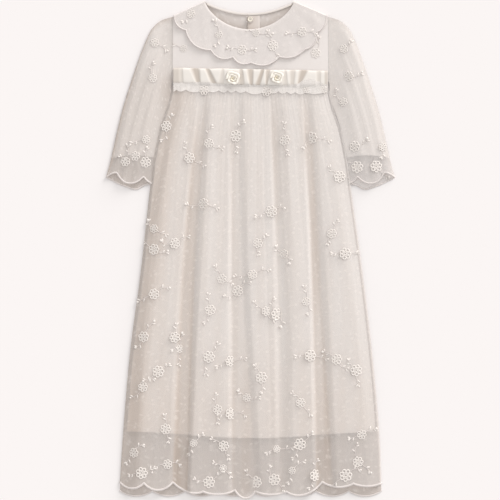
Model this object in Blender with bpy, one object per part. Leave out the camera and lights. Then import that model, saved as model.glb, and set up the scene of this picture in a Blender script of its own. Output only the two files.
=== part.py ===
"""Lace gown for a small child, laid flat on a table with its front up.

The neck points to +Y, the hem to -Y and the front to +Z. The gown rests on Z = 0, and the
origin is the middle of its outline. Tables and driving sizes are in millimetres; the meshes
are in metres. Every cloth is a closed wall of its own thickness, and each layer is worked
out from the one that it lies on.
"""

from collections import namedtuple
import math

import bmesh
import bpy

MM = 0.001

# Cloth thicknesses, and the gap between pieces that are sewn or lie together
NET = 1.0
LINING = 1.0
YOKE_CLOTH = 1.2
RIBBON = 1.0
GAP = 0.3
SHARP_DEGREES = 50.0

# Seam lines of the bodice
SHOULDER_Y = 405.6
ARMHOLE_TOP = (126.9, 381.5)
ARMHOLE_FOOT_X = 127.8
NECK_CENTRE_X = -1.6
NECK_HALF = 72.2
FRONT_NECK_DROP = 44.5
FRONT_NECK_POWER = 0.72
BACK_NECK_DROP = 18.0
WAIST_LEFT_Y = 271.4
WAIST_RIGHT_Y = 266.4
OPENING_X = -5.7
YOKE_SHOULDER_STEPS = 4
YOKE_NECK_STEPS = 14
YOKE_STEPS = 6
BACK_YOKE_STEPS = 9
BACK_YOKE_SHARES = (0.2, 0.4, NECK_HALF / ARMHOLE_TOP[0], 0.7, 0.85, 1.0)

# Heights that the layers keep over the table
BACK_YOKE_LIFT = 1.3
BACK_RAMP_FOOT_Y = 282.0
BACK_RAMP_LENGTH = 40.0
YOKE_SEAT = 2.8
YOKE_CROWN = 2.2
LINING_BACK_SEAT = NET + GAP
LINING_FRONT_SEAT = LINING_BACK_SEAT + LINING + GAP
LINING_SLACK = 0.7
NET_FRONT_SEAT = LINING_FRONT_SEAT + LINING + GAP + LINING_SLACK
HEM_SETTLE = 2.4
HEM_EDGE_Y = -382.0
HEM_BELLY = 12.0
LINING_FOLD_SHARE = 0.4
EDGE_FADE = 22.0
SEAM_FADE = 40.0
SEAM_PRESS = 0.3

# Skirt grid: rows as shares of the length from waist to hem
GATHERS = 40
STEPS_PER_GATHER = 3
GATHER_ROWS = (0.0, 0.018, 0.036, 0.07, 0.11)
GATHER_HEIGHTS = (1.5, 1.4, 1.2, 0.6, 0.0)
GATHER_UNEVEN = 0.22
GATHER_BEAT = 2.3
FRILL_ROWS = 3
FRILL_FLARE = 1.5
FRILL_SHIFT = 1.1
LINING_HEM = 0.878
BODY_ROWS = (0.17, 0.22, 0.28, 0.38, 0.5, 0.62, 0.74, 0.83, LINING_HEM, 0.93, 0.975, 1.0)
BODY_COLUMNS = 60
BACK_COLUMNS = 48
BACK_ROWS = (0.0, 0.055, 0.11, 0.17, 0.22, 0.27, 0.5, 0.75, 0.96, 1.0)
BACK_HEM_Y = -388.0
LINING_BACK_ROWS = (0.0, 0.11, 0.27, 0.5, 0.74, LINING_HEM)
LINING_BACK_STEPS = 10
BACK_SCALLOPS = 8
BACK_SCALLOP_DROP = 7.0

Side = namedtuple("Side", "y left right")
SIDES = (
    Side(271.0, -127.6, 127.6),
    Side(238.0, -135.6, 135.6),
    Side(199.0, -148.4, 148.4),
    Side(150.0, -158.6, 158.6),
    Side(107.0, -164.0, 164.6),
    Side(90.0, -166.2, 167.0),
    Side(-40.0, -180.6, 184.9),
    Side(-166.0, -197.4, 199.8),
    Side(-301.0, -209.2, 211.6),
    Side(-385.0, -214.8, 215.2),
)

# Crests and valleys of the long folds: place and height at the waist, half way and hem
Fold = namedtuple("Fold", "waist_x middle_x hem_x waist_z middle_z hem_z")
FOLDS = (
    Fold(-124.0, -186.0, -209.0, 0.6, 0.4, 0.3),
    Fold(-114.0, -172.0, -176.0, 2.6, 4.4, 4.6),
    Fold(-84.0, -112.0, -130.0, 1.4, 3.4, 4.0),
    Fold(-78.0, -103.0, -119.0, 0.4, 0.0, 0.0),
    Fold(-64.0, -78.0, -98.0, 3.0, 5.8, 5.4),
    Fold(-38.0, -38.0, -38.0, 1.6, 4.6, 4.2),
    Fold(-31.0, -30.0, -30.0, 0.8, 1.6, 1.0),
    Fold(-8.0, -3.0, 6.0, 2.8, 5.4, 4.6),
    Fold(28.0, 38.0, 34.0, 1.6, 3.6, 3.0),
    Fold(34.0, 46.0, 46.0, 0.8, 1.6, 1.4),
    Fold(56.0, 73.0, 70.0, 2.6, 5.0, 4.2),
    Fold(84.0, 97.0, 108.0, 1.6, 3.6, 3.4),
    Fold(89.0, 103.0, 114.0, 0.6, 0.4, 0.2),
    Fold(102.0, 124.0, 140.0, 2.4, 4.0, 3.8),
    Fold(126.0, 181.0, 206.0, 1.0, 2.6, 2.2),
)
FOLD_TOP_Y = 245.0
FOLD_MIDDLE_Y = -26.0
FOLD_HEM_Y = -380.0

# Hem of the front net: each scallop hangs between its cusp and the next one. A power below 1
# makes a scallop fuller than a half wave.
SCALLOP_POWER = 0.7
Scallop = namedtuple("Scallop", "x y drop")
HEM_SCALLOPS = (
    Scallop(-214.8, -380.5, 10.7),
    Scallop(-174.6, -381.4, 13.2),
    Scallop(-127.7, -380.5, 9.0),
    Scallop(-77.8, -395.7, 6.5),
    Scallop(-25.3, -393.7, 13.2),
    Scallop(7.5, -395.7, 5.7),
    Scallop(59.9, -396.1, 13.2),
    Scallop(117.2, -380.5, 7.4),
    Scallop(168.2, -383.0, 5.0),
    Scallop(215.2, -383.0, 0.0),
)

# Outer edge of the collar's front, from the left shoulder to the right one
COLLAR_SCALLOPS = (
    Scallop(-124.6, 382.5, 6.0),
    Scallop(-105.7, 359.9, 10.5),
    Scallop(-64.7, 327.1, 8.5),
    Scallop(-28.6, 315.6, 7.0),
    Scallop(0.9, 306.6, 9.5),
    Scallop(46.8, 316.4, 7.0),
    Scallop(88.5, 327.9, 7.5),
    Scallop(108.8, 356.6, 5.0),
    Scallop(124.6, 382.5, 0.0),
)
COLLAR_POWER = 0.8
COLLAR_STEPS = 5
COLLAR_FADE_STEPS = 3.0
COLLAR_CUSP_SHARE = 0.6
COLLAR_RINGS = (0.0, 0.4, 0.8, 1.0)
COLLAR_LIFTS = (0.0, 0.5, 1.5, 2.1)
COLLAR_WRAP = 2.5
COLLAR_WRAP_TURNS = (45.0, 90.0, 135.0, 180.0)
COLLAR_TIP_LIFT = 0.4
COLLAR_BACK_COLUMNS = 12
COLLAR_BACK_DEPTH = 50.0
COLLAR_BACK_LOBES = 4
COLLAR_BACK_DROP = 6.0
COLLAR_BACK_GAP = 0.012

# Left sleeve: a section for each row, from the armhole to the cuff
Section = namedtuple("Section", "outer_x outer_y inner_x inner_y rise")
SLEEVE = (
    Section(-127.3, 381.9, -128.7, 277.9, 0.6),
    Section(-146.7, 375.5, -130.3, 264.8, 1.6),
    Section(-161.5, 362.4, -133.1, 253.3, 2.4),
    Section(-171.3, 343.5, -136.9, 238.5, 2.9),
    Section(-182.8, 314.0, -143.4, 220.5, 3.0),
    Section(-196.7, 273.0, -150.0, 199.2, 3.0),
    Section(-209.0, 233.6, -154.9, 174.6, 3.0),
    Section(-219.7, 191.0, -159.8, 150.0, 2.8),
    Section(-228.7, 150.0, -163.4, 128.7, 2.6),
    Section(-236.9, 118.8, -165.2, 107.8, 2.4),
)
SLEEVE_TOP_STEPS = 18
SLEEVE_UNDER_STEPS = 4
SLEEVE_LINING_SECTIONS = 9
SLEEVE_HEAD_GATHERS = 6
SLEEVE_HEAD_HEIGHT = 0.9
SLEEVE_HEAD_ROWS = 3.0
SLEEVE_HEAD_EDGE = 6.0
SLEEVE_CROWN_POWER = 0.7
SLEEVE_LEAN = 0.15

# Soft folds that run down the sleeve: place across it and height
Crease = namedtuple("Crease", "share height")
SLEEVE_CREASES = (
    Crease(0.0, 0.0), Crease(0.18, 0.9), Crease(0.32, 0.1), Crease(0.46, 1.2),
    Crease(0.62, 0.2), Crease(0.78, 1.0), Crease(0.9, 0.2), Crease(1.0, 0.0),
)

# Cuff edges: how far each layer hangs below the cuff line, across the sleeve
Cuff = namedtuple("Cuff", "share front back")
CUFF = (
    Cuff(0.0, 0.0, 0.0), Cuff(0.22, -8.5, 5.5), Cuff(0.52, 2.5, 10.0), Cuff(0.7, -2.5, 12.5),
    Cuff(0.85, -8.5, 4.5), Cuff(1.0, 0.0, 0.0),
)

# Ruches of the ribbon: the place of each crest or valley at its two edges, and its height
Ruche = namedtuple("Ruche", "top_x bottom_x height")
RUCHES = (
    Ruche(-126.4, -126.4, 0.1), Ruche(-118.0, -117.0, 0.6), Ruche(-107.3, -107.3, 2.6),
    Ruche(-91.0, -86.0, 0.2), Ruche(-77.8, -71.3, 2.4), Ruche(-69.6, -56.5, 0.1),
    Ruche(-54.9, -46.7, 2.8), Ruche(-41.7, -38.4, 0.5), Ruche(-23.7, -23.7, 1.2),
    Ruche(-13.9, -13.9, 0.5), Ruche(-8.9, -2.4, 2.0), Ruche(-0.7, 7.5, 0.3),
    Ruche(9.1, 10.7, 1.8), Ruche(22.2, 15.7, 0.2), Ruche(28.8, 25.5, 1.4),
    Ruche(58.3, 58.3, 1.5), Ruche(68.1, 69.8, 0.4), Ruche(76.3, 73.1, 1.8),
    Ruche(91.1, 78.0, 0.2), Ruche(102.6, 96.0, 2.8), Ruche(114.1, 114.1, 0.8),
    Ruche(120.6, 120.6, 2.0), Ruche(126.4, 126.4, 0.1),
)
RIBBON_WIDTH = 26.5
RIBBON_FOOT = 0.6
RIBBON_ROWS = (0.0, 0.12, 0.5, 0.88, 1.0)
RIBBON_EDGE_SHARE = (0.35, 0.9, 1.0, 0.9, 0.35)

Rosette = namedtuple("Rosette", "name x y radius")
ROSETTES = (
    Rosette("rosette_left", -28.6, 279.8, 13.0),
    Rosette("rosette_right", 43.5, 281.2, 12.4),
)
ROSETTE_HEIGHT = 5.0
ROSETTE_PITCH = 4.6
ROSETTE_RIDGE = 1.1
ROSETTE_SPOKES = 22
ROSETTE_RINGS = 7
ROSETTE_CORE = 0.04
ROSETTE_RIM = 1.2
ROSETTE_BULGE = 0.93
ROSETTE_WAVE = 0.05
ROSETTE_EDGE_LAP = 3.0

# Fastening at the back neck
PLACKET_WIDTH = 20.5
PLACKET_THICK = 0.9
PLACKET_STOP = 6.0
PLACKET_STEPS = 8
BINDING_STEPS = 12
BINDING_SPANS = {"neck_binding_left": (-0.96, -0.062), "neck_binding_right": (-0.047, 0.96)}
BINDING_WIDTH = 3.4
BUTTON_AT = (-0.4, 377.6)
BUTTON_RADIUS = 4.4
BUTTON_THICK = 2.2
BUTTON_SIDES = 20
BUTTON_PROFILE = ((0.8, 0.0), (1.0, 0.35), (0.95, 0.8), (0.8, 1.0), (0.62, 0.75), (0.3, 0.7))
LOOP_TUBE = 0.6
LOOP_REACH = 5.4
LOOP_TURN = 135.0
LOOP_TAIL = 2.5
LOOP_TAIL_TURN = 1.5
LOOP_STEPS = 16
LOOP_SIDES = 6

# Finishes: colour, roughness and metallic value
Finish = namedtuple("Finish", "colour roughness metallic")
FINISHES = {
    "net": Finish((0.78, 0.72, 0.68), 0.85, 0.0),
    "lining": Finish((0.82, 0.74, 0.68), 0.7, 0.0),
    "satin": Finish((0.90, 0.85, 0.79), 0.32, 0.0),
    "rose_satin": Finish((0.88, 0.79, 0.66), 0.4, 0.0),
    "button": Finish((0.86, 0.80, 0.72), 0.3, 0.0),
    "thread": Finish((0.84, 0.77, 0.68), 0.7, 0.0),
}


def blend(low, high, share):
    """The value that lies at a share of the way from low to high."""
    return low + (high - low) * share


def ease(share):
    """A smooth step from 0 to 1."""
    share = min(max(share, 0.0), 1.0)
    return share * share * (3.0 - 2.0 * share)


def flowing(keys, values, at):
    """A smooth curve through (key, value) pairs, with the keys rising."""
    if at <= keys[0]:
        return values[0]
    if at >= keys[-1]:
        return values[-1]
    index = max(i for i in range(len(keys) - 1) if keys[i] <= at)
    span = keys[index + 1] - keys[index]
    share = (at - keys[index]) / span

    def slope(i):
        if i == 0 or i == len(keys) - 1:
            near = 1 if i == 0 else i
            return (values[near] - values[near - 1]) / (keys[near] - keys[near - 1])
        return (values[i + 1] - values[i - 1]) / (keys[i + 1] - keys[i - 1])

    square = share * share
    cube = square * share
    return ((2 * cube - 3 * square + 1) * values[index]
            + (cube - 2 * square + share) * span * slope(index)
            + (3 * square - 2 * cube) * values[index + 1]
            + (cube - square) * span * slope(index + 1))


def stepped(stations, at):
    """Height between crests and valleys, given as (place, height) pairs in order."""
    if at <= stations[0][0]:
        return stations[0][1]
    for (x0, z0), (x1, z1) in zip(stations, stations[1:]):
        if at <= x1:
            return blend(z0, z1, ease((at - x0) / (x1 - x0)))
    return stations[-1][1]


def side_x(y):
    """Left and right edge of the skirt at a height."""
    keys = [-side.y for side in SIDES]
    left = flowing(keys, [side.left for side in SIDES], -y)
    right = flowing(keys, [side.right for side in SIDES], -y)
    return left, right


def waist_y(x):
    """Line of the high waist seam."""
    return blend(WAIST_LEFT_Y, WAIST_RIGHT_Y, (x + ARMHOLE_FOOT_X) / (2 * ARMHOLE_FOOT_X))


def scalloped(scallops, x):
    """Height of a scalloped edge that hangs between cusps, for a place along x."""
    for cusp, following in zip(scallops, scallops[1:]):
        if x <= following.x or following is scallops[-1]:
            share = min(max((x - cusp.x) / (following.x - cusp.x), 0.0), 1.0)
            hang = cusp.drop * math.sin(math.pi * share) ** SCALLOP_POWER
            return blend(cusp.y, following.y, share) - hang
    return scallops[-1].y


def fold_height(x, y):
    """Rise of the long skirt folds above their valleys."""
    keys = (-FOLD_TOP_Y, -FOLD_MIDDLE_Y, -FOLD_HEM_Y)
    stations = []
    for fold in FOLDS:
        place = flowing(keys, (fold.waist_x, fold.middle_x, fold.hem_x), -y)
        rise = flowing(keys, (fold.waist_z, fold.middle_z, fold.hem_z), -y)
        stations.append((place, rise))
    left, right = side_x(y)
    fade = ease((x - left) / EDGE_FADE) * ease((right - x) / EDGE_FADE)
    pressed = blend(SEAM_PRESS, 1.0, ease((waist_y(x) - y) / SEAM_FADE))
    return stepped(stations, x) * fade * pressed


def slope_factor(height, x, y):
    """Upright thickness of a wall for each unit of its true thickness, on a sloping face."""
    along_x = (height(x + 1.0, y) - height(x - 1.0, y)) / 2.0
    along_y = (height(x, y + 1.0) - height(x, y - 1.0)) / 2.0
    return math.sqrt(1.0 + along_x * along_x + along_y * along_y)


def skirt_point(u, v, scallops=None):
    """Place in plan of a skirt point: u runs across, v from the waist to the hem."""
    guess = blend(WAIST_LEFT_Y, HEM_EDGE_Y, v)
    left, right = side_x(guess)
    x = blend(left, right, u)
    top = waist_y(x) - GAP
    belly = HEM_EDGE_Y - HEM_BELLY * math.sin(math.pi * u) ** 2
    bottom = scalloped(scallops, x) if scallops and v == 1.0 else belly
    return x, blend(top, bottom, v)


def lining_under(x, y):
    """Underside of the front lining."""
    return LINING_FRONT_SEAT + LINING_FOLD_SHARE * fold_height(x, y)


def net_under(x, y):
    """Underside of the front net, before its gathers."""
    return NET_FRONT_SEAT + fold_height(x, y)


def gather_height(u, v):
    """Rise of the small gathers under the waist seam, which fade downwards."""
    strength = flowing(GATHER_ROWS, GATHER_HEIGHTS, v) if v < GATHER_ROWS[-1] else 0.0
    number = u * GATHERS
    uneven = 1.0 + GATHER_UNEVEN * (math.sin(GATHER_BEAT * math.floor(number + 0.5)) - 1.0)
    return strength * uneven * (0.5 + 0.5 * math.cos(2.0 * math.pi * number))


def vertices(shape, points):
    """New vertices at points given in millimetres."""
    return [shape.verts.new([value * MM for value in point]) for point in points]


def placed(name, finish, shape):
    """The object made from a closed bmesh, with its faces turned outwards."""
    bmesh.ops.recalc_face_normals(shape, faces=shape.faces)
    mesh = bpy.data.meshes.new(name)
    shape.to_mesh(mesh)
    shape.free()
    mesh.shade_smooth()
    mesh.set_sharp_from_angle(angle=math.radians(SHARP_DEGREES))
    mesh.materials.append(material(finish))
    item = bpy.data.objects.new(name, mesh)
    bpy.context.scene.collection.objects.link(item)
    return item


def split_quad(shape, a, b, c, d):
    """Two triangles over four vertices, split the same way in every layer."""
    shape.faces.new((a, b, c))
    shape.faces.new((a, c, d))


def skin(shape, rows, ring):
    """Faces over rows of vertices; a row may have half as many steps as the row above it."""
    for upper, lower in zip(rows, rows[1:]):
        if ring:
            upper = upper + upper[:1]
            lower = lower + lower[:1]
        if len(upper) == len(lower):
            for i in range(len(upper) - 1):
                split_quad(shape, upper[i], lower[i], lower[i + 1], upper[i + 1])
            continue
        for i in range(len(lower) - 1):
            shape.faces.new((upper[2 * i], lower[i], upper[2 * i + 1]))
            shape.faces.new((upper[2 * i + 1], lower[i], lower[i + 1]))
            shape.faces.new((upper[2 * i + 1], lower[i + 1], upper[2 * i + 2]))


def wall(name, finish, outside, inside, ring=False):
    """A closed wall between two matching grids of points.

    With ring set, each row closes on itself, and the wall is a tube open at both ends.
    """
    shape = bmesh.new()
    outer = [vertices(shape, row) for row in outside]
    inner = [vertices(shape, row) for row in inside]
    skin(shape, outer, ring)
    skin(shape, inner, ring)
    if ring:
        rims = [(outer[end] + outer[end][:1], inner[end] + inner[end][:1]) for end in (0, -1)]
    else:
        rims = [(outer[end], inner[end]) for end in (0, -1)]
        rims += [([row[end] for row in outer], [row[end] for row in inner]) for end in (0, -1)]
    for edge, other in rims:
        for i in range(len(edge) - 1):
            split_quad(shape, edge[i], edge[i + 1], other[i + 1], other[i])
    return placed(name, finish, shape)


def tube(name, finish, rings):
    """A solid skin through rings of points, closed by a flat face at each end."""
    shape = bmesh.new()
    made = [vertices(shape, ring) for ring in rings]
    for low, high in zip(made, made[1:]):
        for i in range(len(low)):
            j = (i + 1) % len(low)
            shape.faces.new((low[i], low[j], high[j], high[i]))
    shape.faces.new(made[0])
    shape.faces.new(made[-1])
    return placed(name, finish, shape)


def material(finish):
    """Principled material of one finish, made once."""
    if finish in bpy.data.materials:
        return bpy.data.materials[finish]
    values = FINISHES[finish]
    made = bpy.data.materials.new(finish)
    made.use_nodes = True
    shader = made.node_tree.nodes["Principled BSDF"]
    shader.inputs["Base Color"].default_value = (*values.colour, 1.0)
    shader.inputs["Roughness"].default_value = values.roughness
    shader.inputs["Metallic"].default_value = values.metallic
    return made


def raised(rows, lift):
    """The same points, each higher by lift(x, y)."""
    return [[(x, y, z + lift(x, y)) for x, y, z in row] for row in rows]


def front_skirt_rows():
    """Underside of the front net, row by row, with its gathers and its edges laid down."""
    rows = []
    for v in GATHER_ROWS + BODY_ROWS:
        steps = GATHERS * STEPS_PER_GATHER if v in GATHER_ROWS else BODY_COLUMNS
        row = []
        for i in range(steps + 1):
            u = i / steps
            x, y = skirt_point(u, v, HEM_SCALLOPS)
            settle = HEM_SETTLE * ease((v - LINING_HEM) / (1.0 - LINING_HEM))
            z = net_under(x, y) - settle + gather_height(u, v)
            if i in (0, steps):
                z = NET + GAP
            row.append((x, y, z))
        rows.append(row)
    return rows


def make_skirt():
    """Front and back of the skirt's net, their linings, and the frill at the waist."""
    under = front_skirt_rows()
    front = raised(under, lambda x, y: NET * slope_factor(net_under, x, y))
    wall("skirt_front", "net", front, under)

    lining_rows = []
    for v in GATHER_ROWS[::3] + BODY_ROWS[:BODY_ROWS.index(LINING_HEM) + 1]:
        row = []
        for i in range(1, BODY_COLUMNS, 2):
            x, y = skirt_point(i / BODY_COLUMNS, v)
            row.append((x, y, lining_under(x, y)))
        lining_rows.append(row)
    lining_top = raised(lining_rows, lambda x, y: LINING * slope_factor(lining_under, x, y))
    wall("lining_front", "lining", lining_top, lining_rows)

    back_lining = []
    inset = 1.0 / BODY_COLUMNS
    for v in LINING_BACK_ROWS:
        plan = [skirt_point(blend(inset, 1.0 - inset, i / LINING_BACK_STEPS), v)
                for i in range(LINING_BACK_STEPS + 1)]
        back_lining.append([(x, y, LINING_BACK_SEAT) for x, y in plan])
    wall("lining_back", "lining", raised(back_lining, lambda x, y: LINING), back_lining)

    back = []
    for v in BACK_ROWS:
        row = []
        for i in range(BACK_COLUMNS + 1):
            u = i / BACK_COLUMNS
            x, y = skirt_point(u, v)
            if v == 1.0:
                y = BACK_HEM_Y - BACK_SCALLOP_DROP * abs(math.sin(math.pi * BACK_SCALLOPS * u)) ** SCALLOP_POWER
            row.append((x, y, 0.0))
        back.append(row)
    wall("skirt_back", "net", raised(back, lambda x, y: NET), back)

    seat = []
    for v, row in zip(GATHER_ROWS[:FRILL_ROWS], front):
        flare = v / GATHER_ROWS[FRILL_ROWS - 1]
        points = []
        for i, (x, y, z) in enumerate(row[1:-1], start=1):
            wave = 0.5 + 0.5 * math.cos(2.0 * math.pi * i / STEPS_PER_GATHER + FRILL_SHIFT)
            points.append((x, y, z + GAP + FRILL_FLARE * flare * wave))
        seat.append(points)
    wall("waist_frill", "net", raised(seat, lambda x, y: NET), seat)


def neck_front(q):
    """Front neck edge, for q from -1 at the left shoulder to 1 at the right one."""
    depth = FRONT_NECK_DROP * max(1.0 - q * q, 0.0) ** FRONT_NECK_POWER
    return NECK_CENTRE_X + q * NECK_HALF, SHOULDER_Y - depth


def neck_back(q):
    """Back neck edge, for q from -1 at the left shoulder to 1 at the right one."""
    return NECK_CENTRE_X + q * NECK_HALF, SHOULDER_Y - BACK_NECK_DROP * (1.0 - q * q)


def bodice_top(w, neck):
    """Upper edge of a yoke: shoulder, neck and shoulder, for w from -1 to 1."""
    neck_share = NECK_HALF / ARMHOLE_TOP[0]
    if abs(w) <= neck_share:
        return neck(w / neck_share)
    hand = math.copysign(1.0, w)
    share = (abs(w) - neck_share) / (1.0 - neck_share)
    start = neck(hand)
    return blend(start[0], hand * ARMHOLE_TOP[0], share), blend(start[1], ARMHOLE_TOP[1], share)


def yoke_under(x, y):
    """Underside of the front yoke, a little crowned."""
    return YOKE_SEAT + YOKE_CROWN * max(1.0 - (x / ARMHOLE_TOP[0]) ** 2, 0.0)


def yoke_top(x, y):
    """Upper face of the front yoke."""
    return yoke_under(x, y) + YOKE_CLOTH


def back_yoke_under(x, y):
    """Underside of the back yoke, which rises onto the back of the collar."""
    return BACK_YOKE_LIFT * ease((y - BACK_RAMP_FOOT_Y) / BACK_RAMP_LENGTH)


def yoke_rows(shares, neck, under, steps):
    """Rows of a yoke from its upper edge down to the waist seam."""
    rows = []
    for j in range(steps + 1):
        row = []
        for w in shares:
            top_x, top_y = bodice_top(w, neck)
            foot_x = w * ARMHOLE_FOOT_X
            x = blend(top_x, foot_x, j / steps)
            y = blend(top_y, waist_y(foot_x), j / steps)
            row.append((x, y, under(x, y)))
        rows.append(row)
    return rows


def make_yokes():
    """Front yoke, both halves of the back yoke, and what fastens them."""
    neck_share = NECK_HALF / ARMHOLE_TOP[0]
    shoulder = [blend(1.0, neck_share, i / YOKE_SHOULDER_STEPS) for i in range(YOKE_SHOULDER_STEPS)]
    across = [neck_share * math.cos(math.pi * i / YOKE_NECK_STEPS) for i in range(YOKE_NECK_STEPS + 1)]
    shares = sorted(shoulder + across + [-share for share in shoulder])
    front = yoke_rows(shares, neck_front, yoke_under, YOKE_STEPS)
    wall("yoke_front", "net", raised(front, lambda x, y: YOKE_CLOTH), front)

    split = (OPENING_X - NECK_CENTRE_X) / ARMHOLE_TOP[0]
    half_gap = 0.5 * GAP / ARMHOLE_TOP[0]
    left = [-share for share in reversed(BACK_YOKE_SHARES)] + [split - half_gap]
    right = [split + half_gap, *BACK_YOKE_SHARES]
    for name, columns in (("yoke_back_left", left), ("yoke_back_right", right)):
        back = yoke_rows(columns, neck_back, back_yoke_under, BACK_YOKE_STEPS)
        wall(name, "net", raised(back, lambda x, y: YOKE_CLOTH), back)

    def seat(x, y):
        return back_yoke_under(x, y) + YOKE_CLOTH + GAP

    strip = []
    placket_left = OPENING_X + 2 * GAP
    for j in range(PLACKET_STEPS + 1):
        row = []
        for x in (placket_left, placket_left + PLACKET_WIDTH):
            q = (x - NECK_CENTRE_X) / NECK_HALF
            top = neck_back(q)[1] - BINDING_WIDTH - 3 * GAP
            y = blend(top, waist_y(x) + PLACKET_STOP, j / PLACKET_STEPS)
            row.append((x, y, seat(x, y)))
        strip.append(row)
    wall("placket", "lining", raised(strip, lambda x, y: PLACKET_THICK), strip)

    for name, (start, stop) in BINDING_SPANS.items():
        outer = []
        inner = []
        for i in range(BINDING_STEPS + 1):
            x, y = neck_back(blend(start, stop, i / BINDING_STEPS))
            outer.append((x, y, seat(x, y)))
            inner.append((x, y - BINDING_WIDTH, seat(x, y)))
        rows = [outer, inner]
        wall(name, "satin", raised(rows, lambda x, y: NET), rows)

    make_button(seat(*BUTTON_AT) + PLACKET_THICK + GAP)


def make_button(seat):
    """Small dished button on the placket, and the thread loop round it."""
    rings = []
    for radius_share, height_share in BUTTON_PROFILE:
        ring = []
        for i in range(BUTTON_SIDES):
            angle = 2.0 * math.pi * i / BUTTON_SIDES
            ring.append((BUTTON_AT[0] + BUTTON_RADIUS * radius_share * math.cos(angle),
                         BUTTON_AT[1] + BUTTON_RADIUS * radius_share * math.sin(angle),
                         seat + BUTTON_THICK * height_share))
        rings.append(ring)
    tube("button", "button", rings)

    path = []
    for i in range(LOOP_STEPS + 1):
        angle = math.radians(blend(LOOP_TURN, -LOOP_TURN, i / LOOP_STEPS))
        tail = LOOP_TAIL * ease(abs(angle) - LOOP_TAIL_TURN)
        path.append((BUTTON_AT[0] + LOOP_REACH * math.cos(angle) - tail,
                     BUTTON_AT[1] + LOOP_REACH * math.sin(angle)))
    rings = []
    for k, (x, y) in enumerate(path):
        before = path[max(k - 1, 0)]
        after = path[min(k + 1, len(path) - 1)]
        length = math.dist(before, after)
        across = ((before[1] - after[1]) / length, (after[0] - before[0]) / length)
        ring = []
        for s in range(LOOP_SIDES):
            turn = 2.0 * math.pi * s / LOOP_SIDES
            side = LOOP_TUBE * math.cos(turn)
            height = seat + LOOP_TUBE * (1.0 + math.sin(turn))
            ring.append((x + across[0] * side, y + across[1] * side, height))
        rings.append(ring)
    tube("button_loop", "thread", rings)


def collar_column(neck_point, edge_point, outside_z, inside_z):
    """One radial line of the collar, as its outer and inner face."""
    outer = []
    inner = []
    for share, lift in zip(COLLAR_RINGS, COLLAR_LIFTS):
        x = blend(neck_point[0], edge_point[0], share)
        y = blend(neck_point[1], edge_point[1], share)
        outer.append((x, y, outside_z(x, y, lift)))
        inner.append((x, y, inside_z(x, y, lift)))
    return outer, inner


def collar_wrap(hand):
    """Columns that carry the collar round a shoulder, from its front to its back."""
    neck = neck_front(hand)
    tip_x, tip_y = (COLLAR_SCALLOPS[-1] if hand > 0 else COLLAR_SCALLOPS[0])[:2]
    length = math.hypot(tip_x - neck[0], tip_y - neck[1])
    normal = (hand * (neck[1] - tip_y) / length, abs(tip_x - neck[0]) / length)
    columns = []
    for degrees in COLLAR_WRAP_TURNS:
        turn = math.radians(degrees)
        outer = []
        inner = []
        for share, lift in zip(COLLAR_RINGS, COLLAR_LIFTS):
            x = blend(neck[0], tip_x, share)
            y = blend(neck[1], tip_y, share)
            crest = yoke_top(x, y) + GAP + lift * COLLAR_TIP_LIFT
            for face, reach, low, high in ((outer, COLLAR_WRAP, 0.0, crest + NET),
                                           (inner, COLLAR_WRAP - NET, NET, crest)):
                bulge = reach * math.sin(turn)
                height = blend(low, high, 0.5 + 0.5 * math.cos(turn))
                face.append((x + normal[0] * bulge, y + normal[1] * bulge, height))
        columns.append((outer, inner))
    return columns


def make_collar():
    """Round collar, from the centre back over both shoulders to the centre back."""
    cusps = COLLAR_SCALLOPS
    front = []
    count = (len(cusps) - 1) * COLLAR_STEPS
    for k in range(count + 1):
        index = min(k // COLLAR_STEPS, len(cusps) - 2)
        share = (k - index * COLLAR_STEPS) / COLLAR_STEPS
        cusp, following = cusps[index], cusps[index + 1]
        x = blend(cusp.x, following.x, share)
        y = blend(cusp.y, following.y, share)
        along = (following.x - cusp.x, following.y - cusp.y)
        length = math.hypot(*along)
        hang = cusp.drop * math.sin(math.pi * share) ** COLLAR_POWER
        edge = (x + along[1] / length * hang, y - along[0] / length * hang)
        q = -math.cos(math.pi * k / count)
        fade = ease(min(k, count - k) / COLLAR_FADE_STEPS)

        def under(px, py, lift, fade=fade, share=share):
            lobe = blend(COLLAR_CUSP_SHARE, 1.0, math.sin(math.pi * share))
            return yoke_top(px, py) + GAP + lift * blend(COLLAR_TIP_LIFT, lobe, fade)

        def upper(px, py, lift, under=under):
            return under(px, py, lift) + NET

        front.append(collar_column(neck_front(q), edge, upper, under))

    def back_columns(hand):
        columns = []
        stop = (OPENING_X - NECK_CENTRE_X) / NECK_HALF + hand * COLLAR_BACK_GAP
        tip_x, tip_y = (cusps[-1] if hand > 0 else cusps[0])[:2]
        for i in range(1, COLLAR_BACK_COLUMNS + 1):
            share = i / COLLAR_BACK_COLUMNS
            q = blend(hand, stop, share)
            stop_x = NECK_CENTRE_X + NECK_HALF * stop
            angle = 0.5 * math.pi * share
            x = blend(tip_x, stop_x, math.sin(angle))
            lobe = abs(math.sin(math.pi * COLLAR_BACK_LOBES * share)) ** COLLAR_POWER
            y = tip_y - COLLAR_BACK_DEPTH * (1.0 - math.cos(angle)) - COLLAR_BACK_DROP * lobe * share
            columns.append(collar_column(neck_back(q), (x, y), lambda a, b, c: 0.0, lambda a, b, c: NET))
        return columns

    left = collar_wrap(-1.0) + back_columns(-1.0)
    right = collar_wrap(1.0) + back_columns(1.0)
    columns = left[::-1] + front + right
    wall("collar", "net", [outer for outer, inner in columns], [inner for outer, inner in columns])


def sleeve_place(section, share, reach):
    """Place in plan across a sleeve section, moved along the sleeve by a reach."""
    x = blend(section.outer_x, section.inner_x, share)
    y = blend(section.outer_y, section.inner_y, share)
    return x - SLEEVE_LEAN * reach, y - reach


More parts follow.
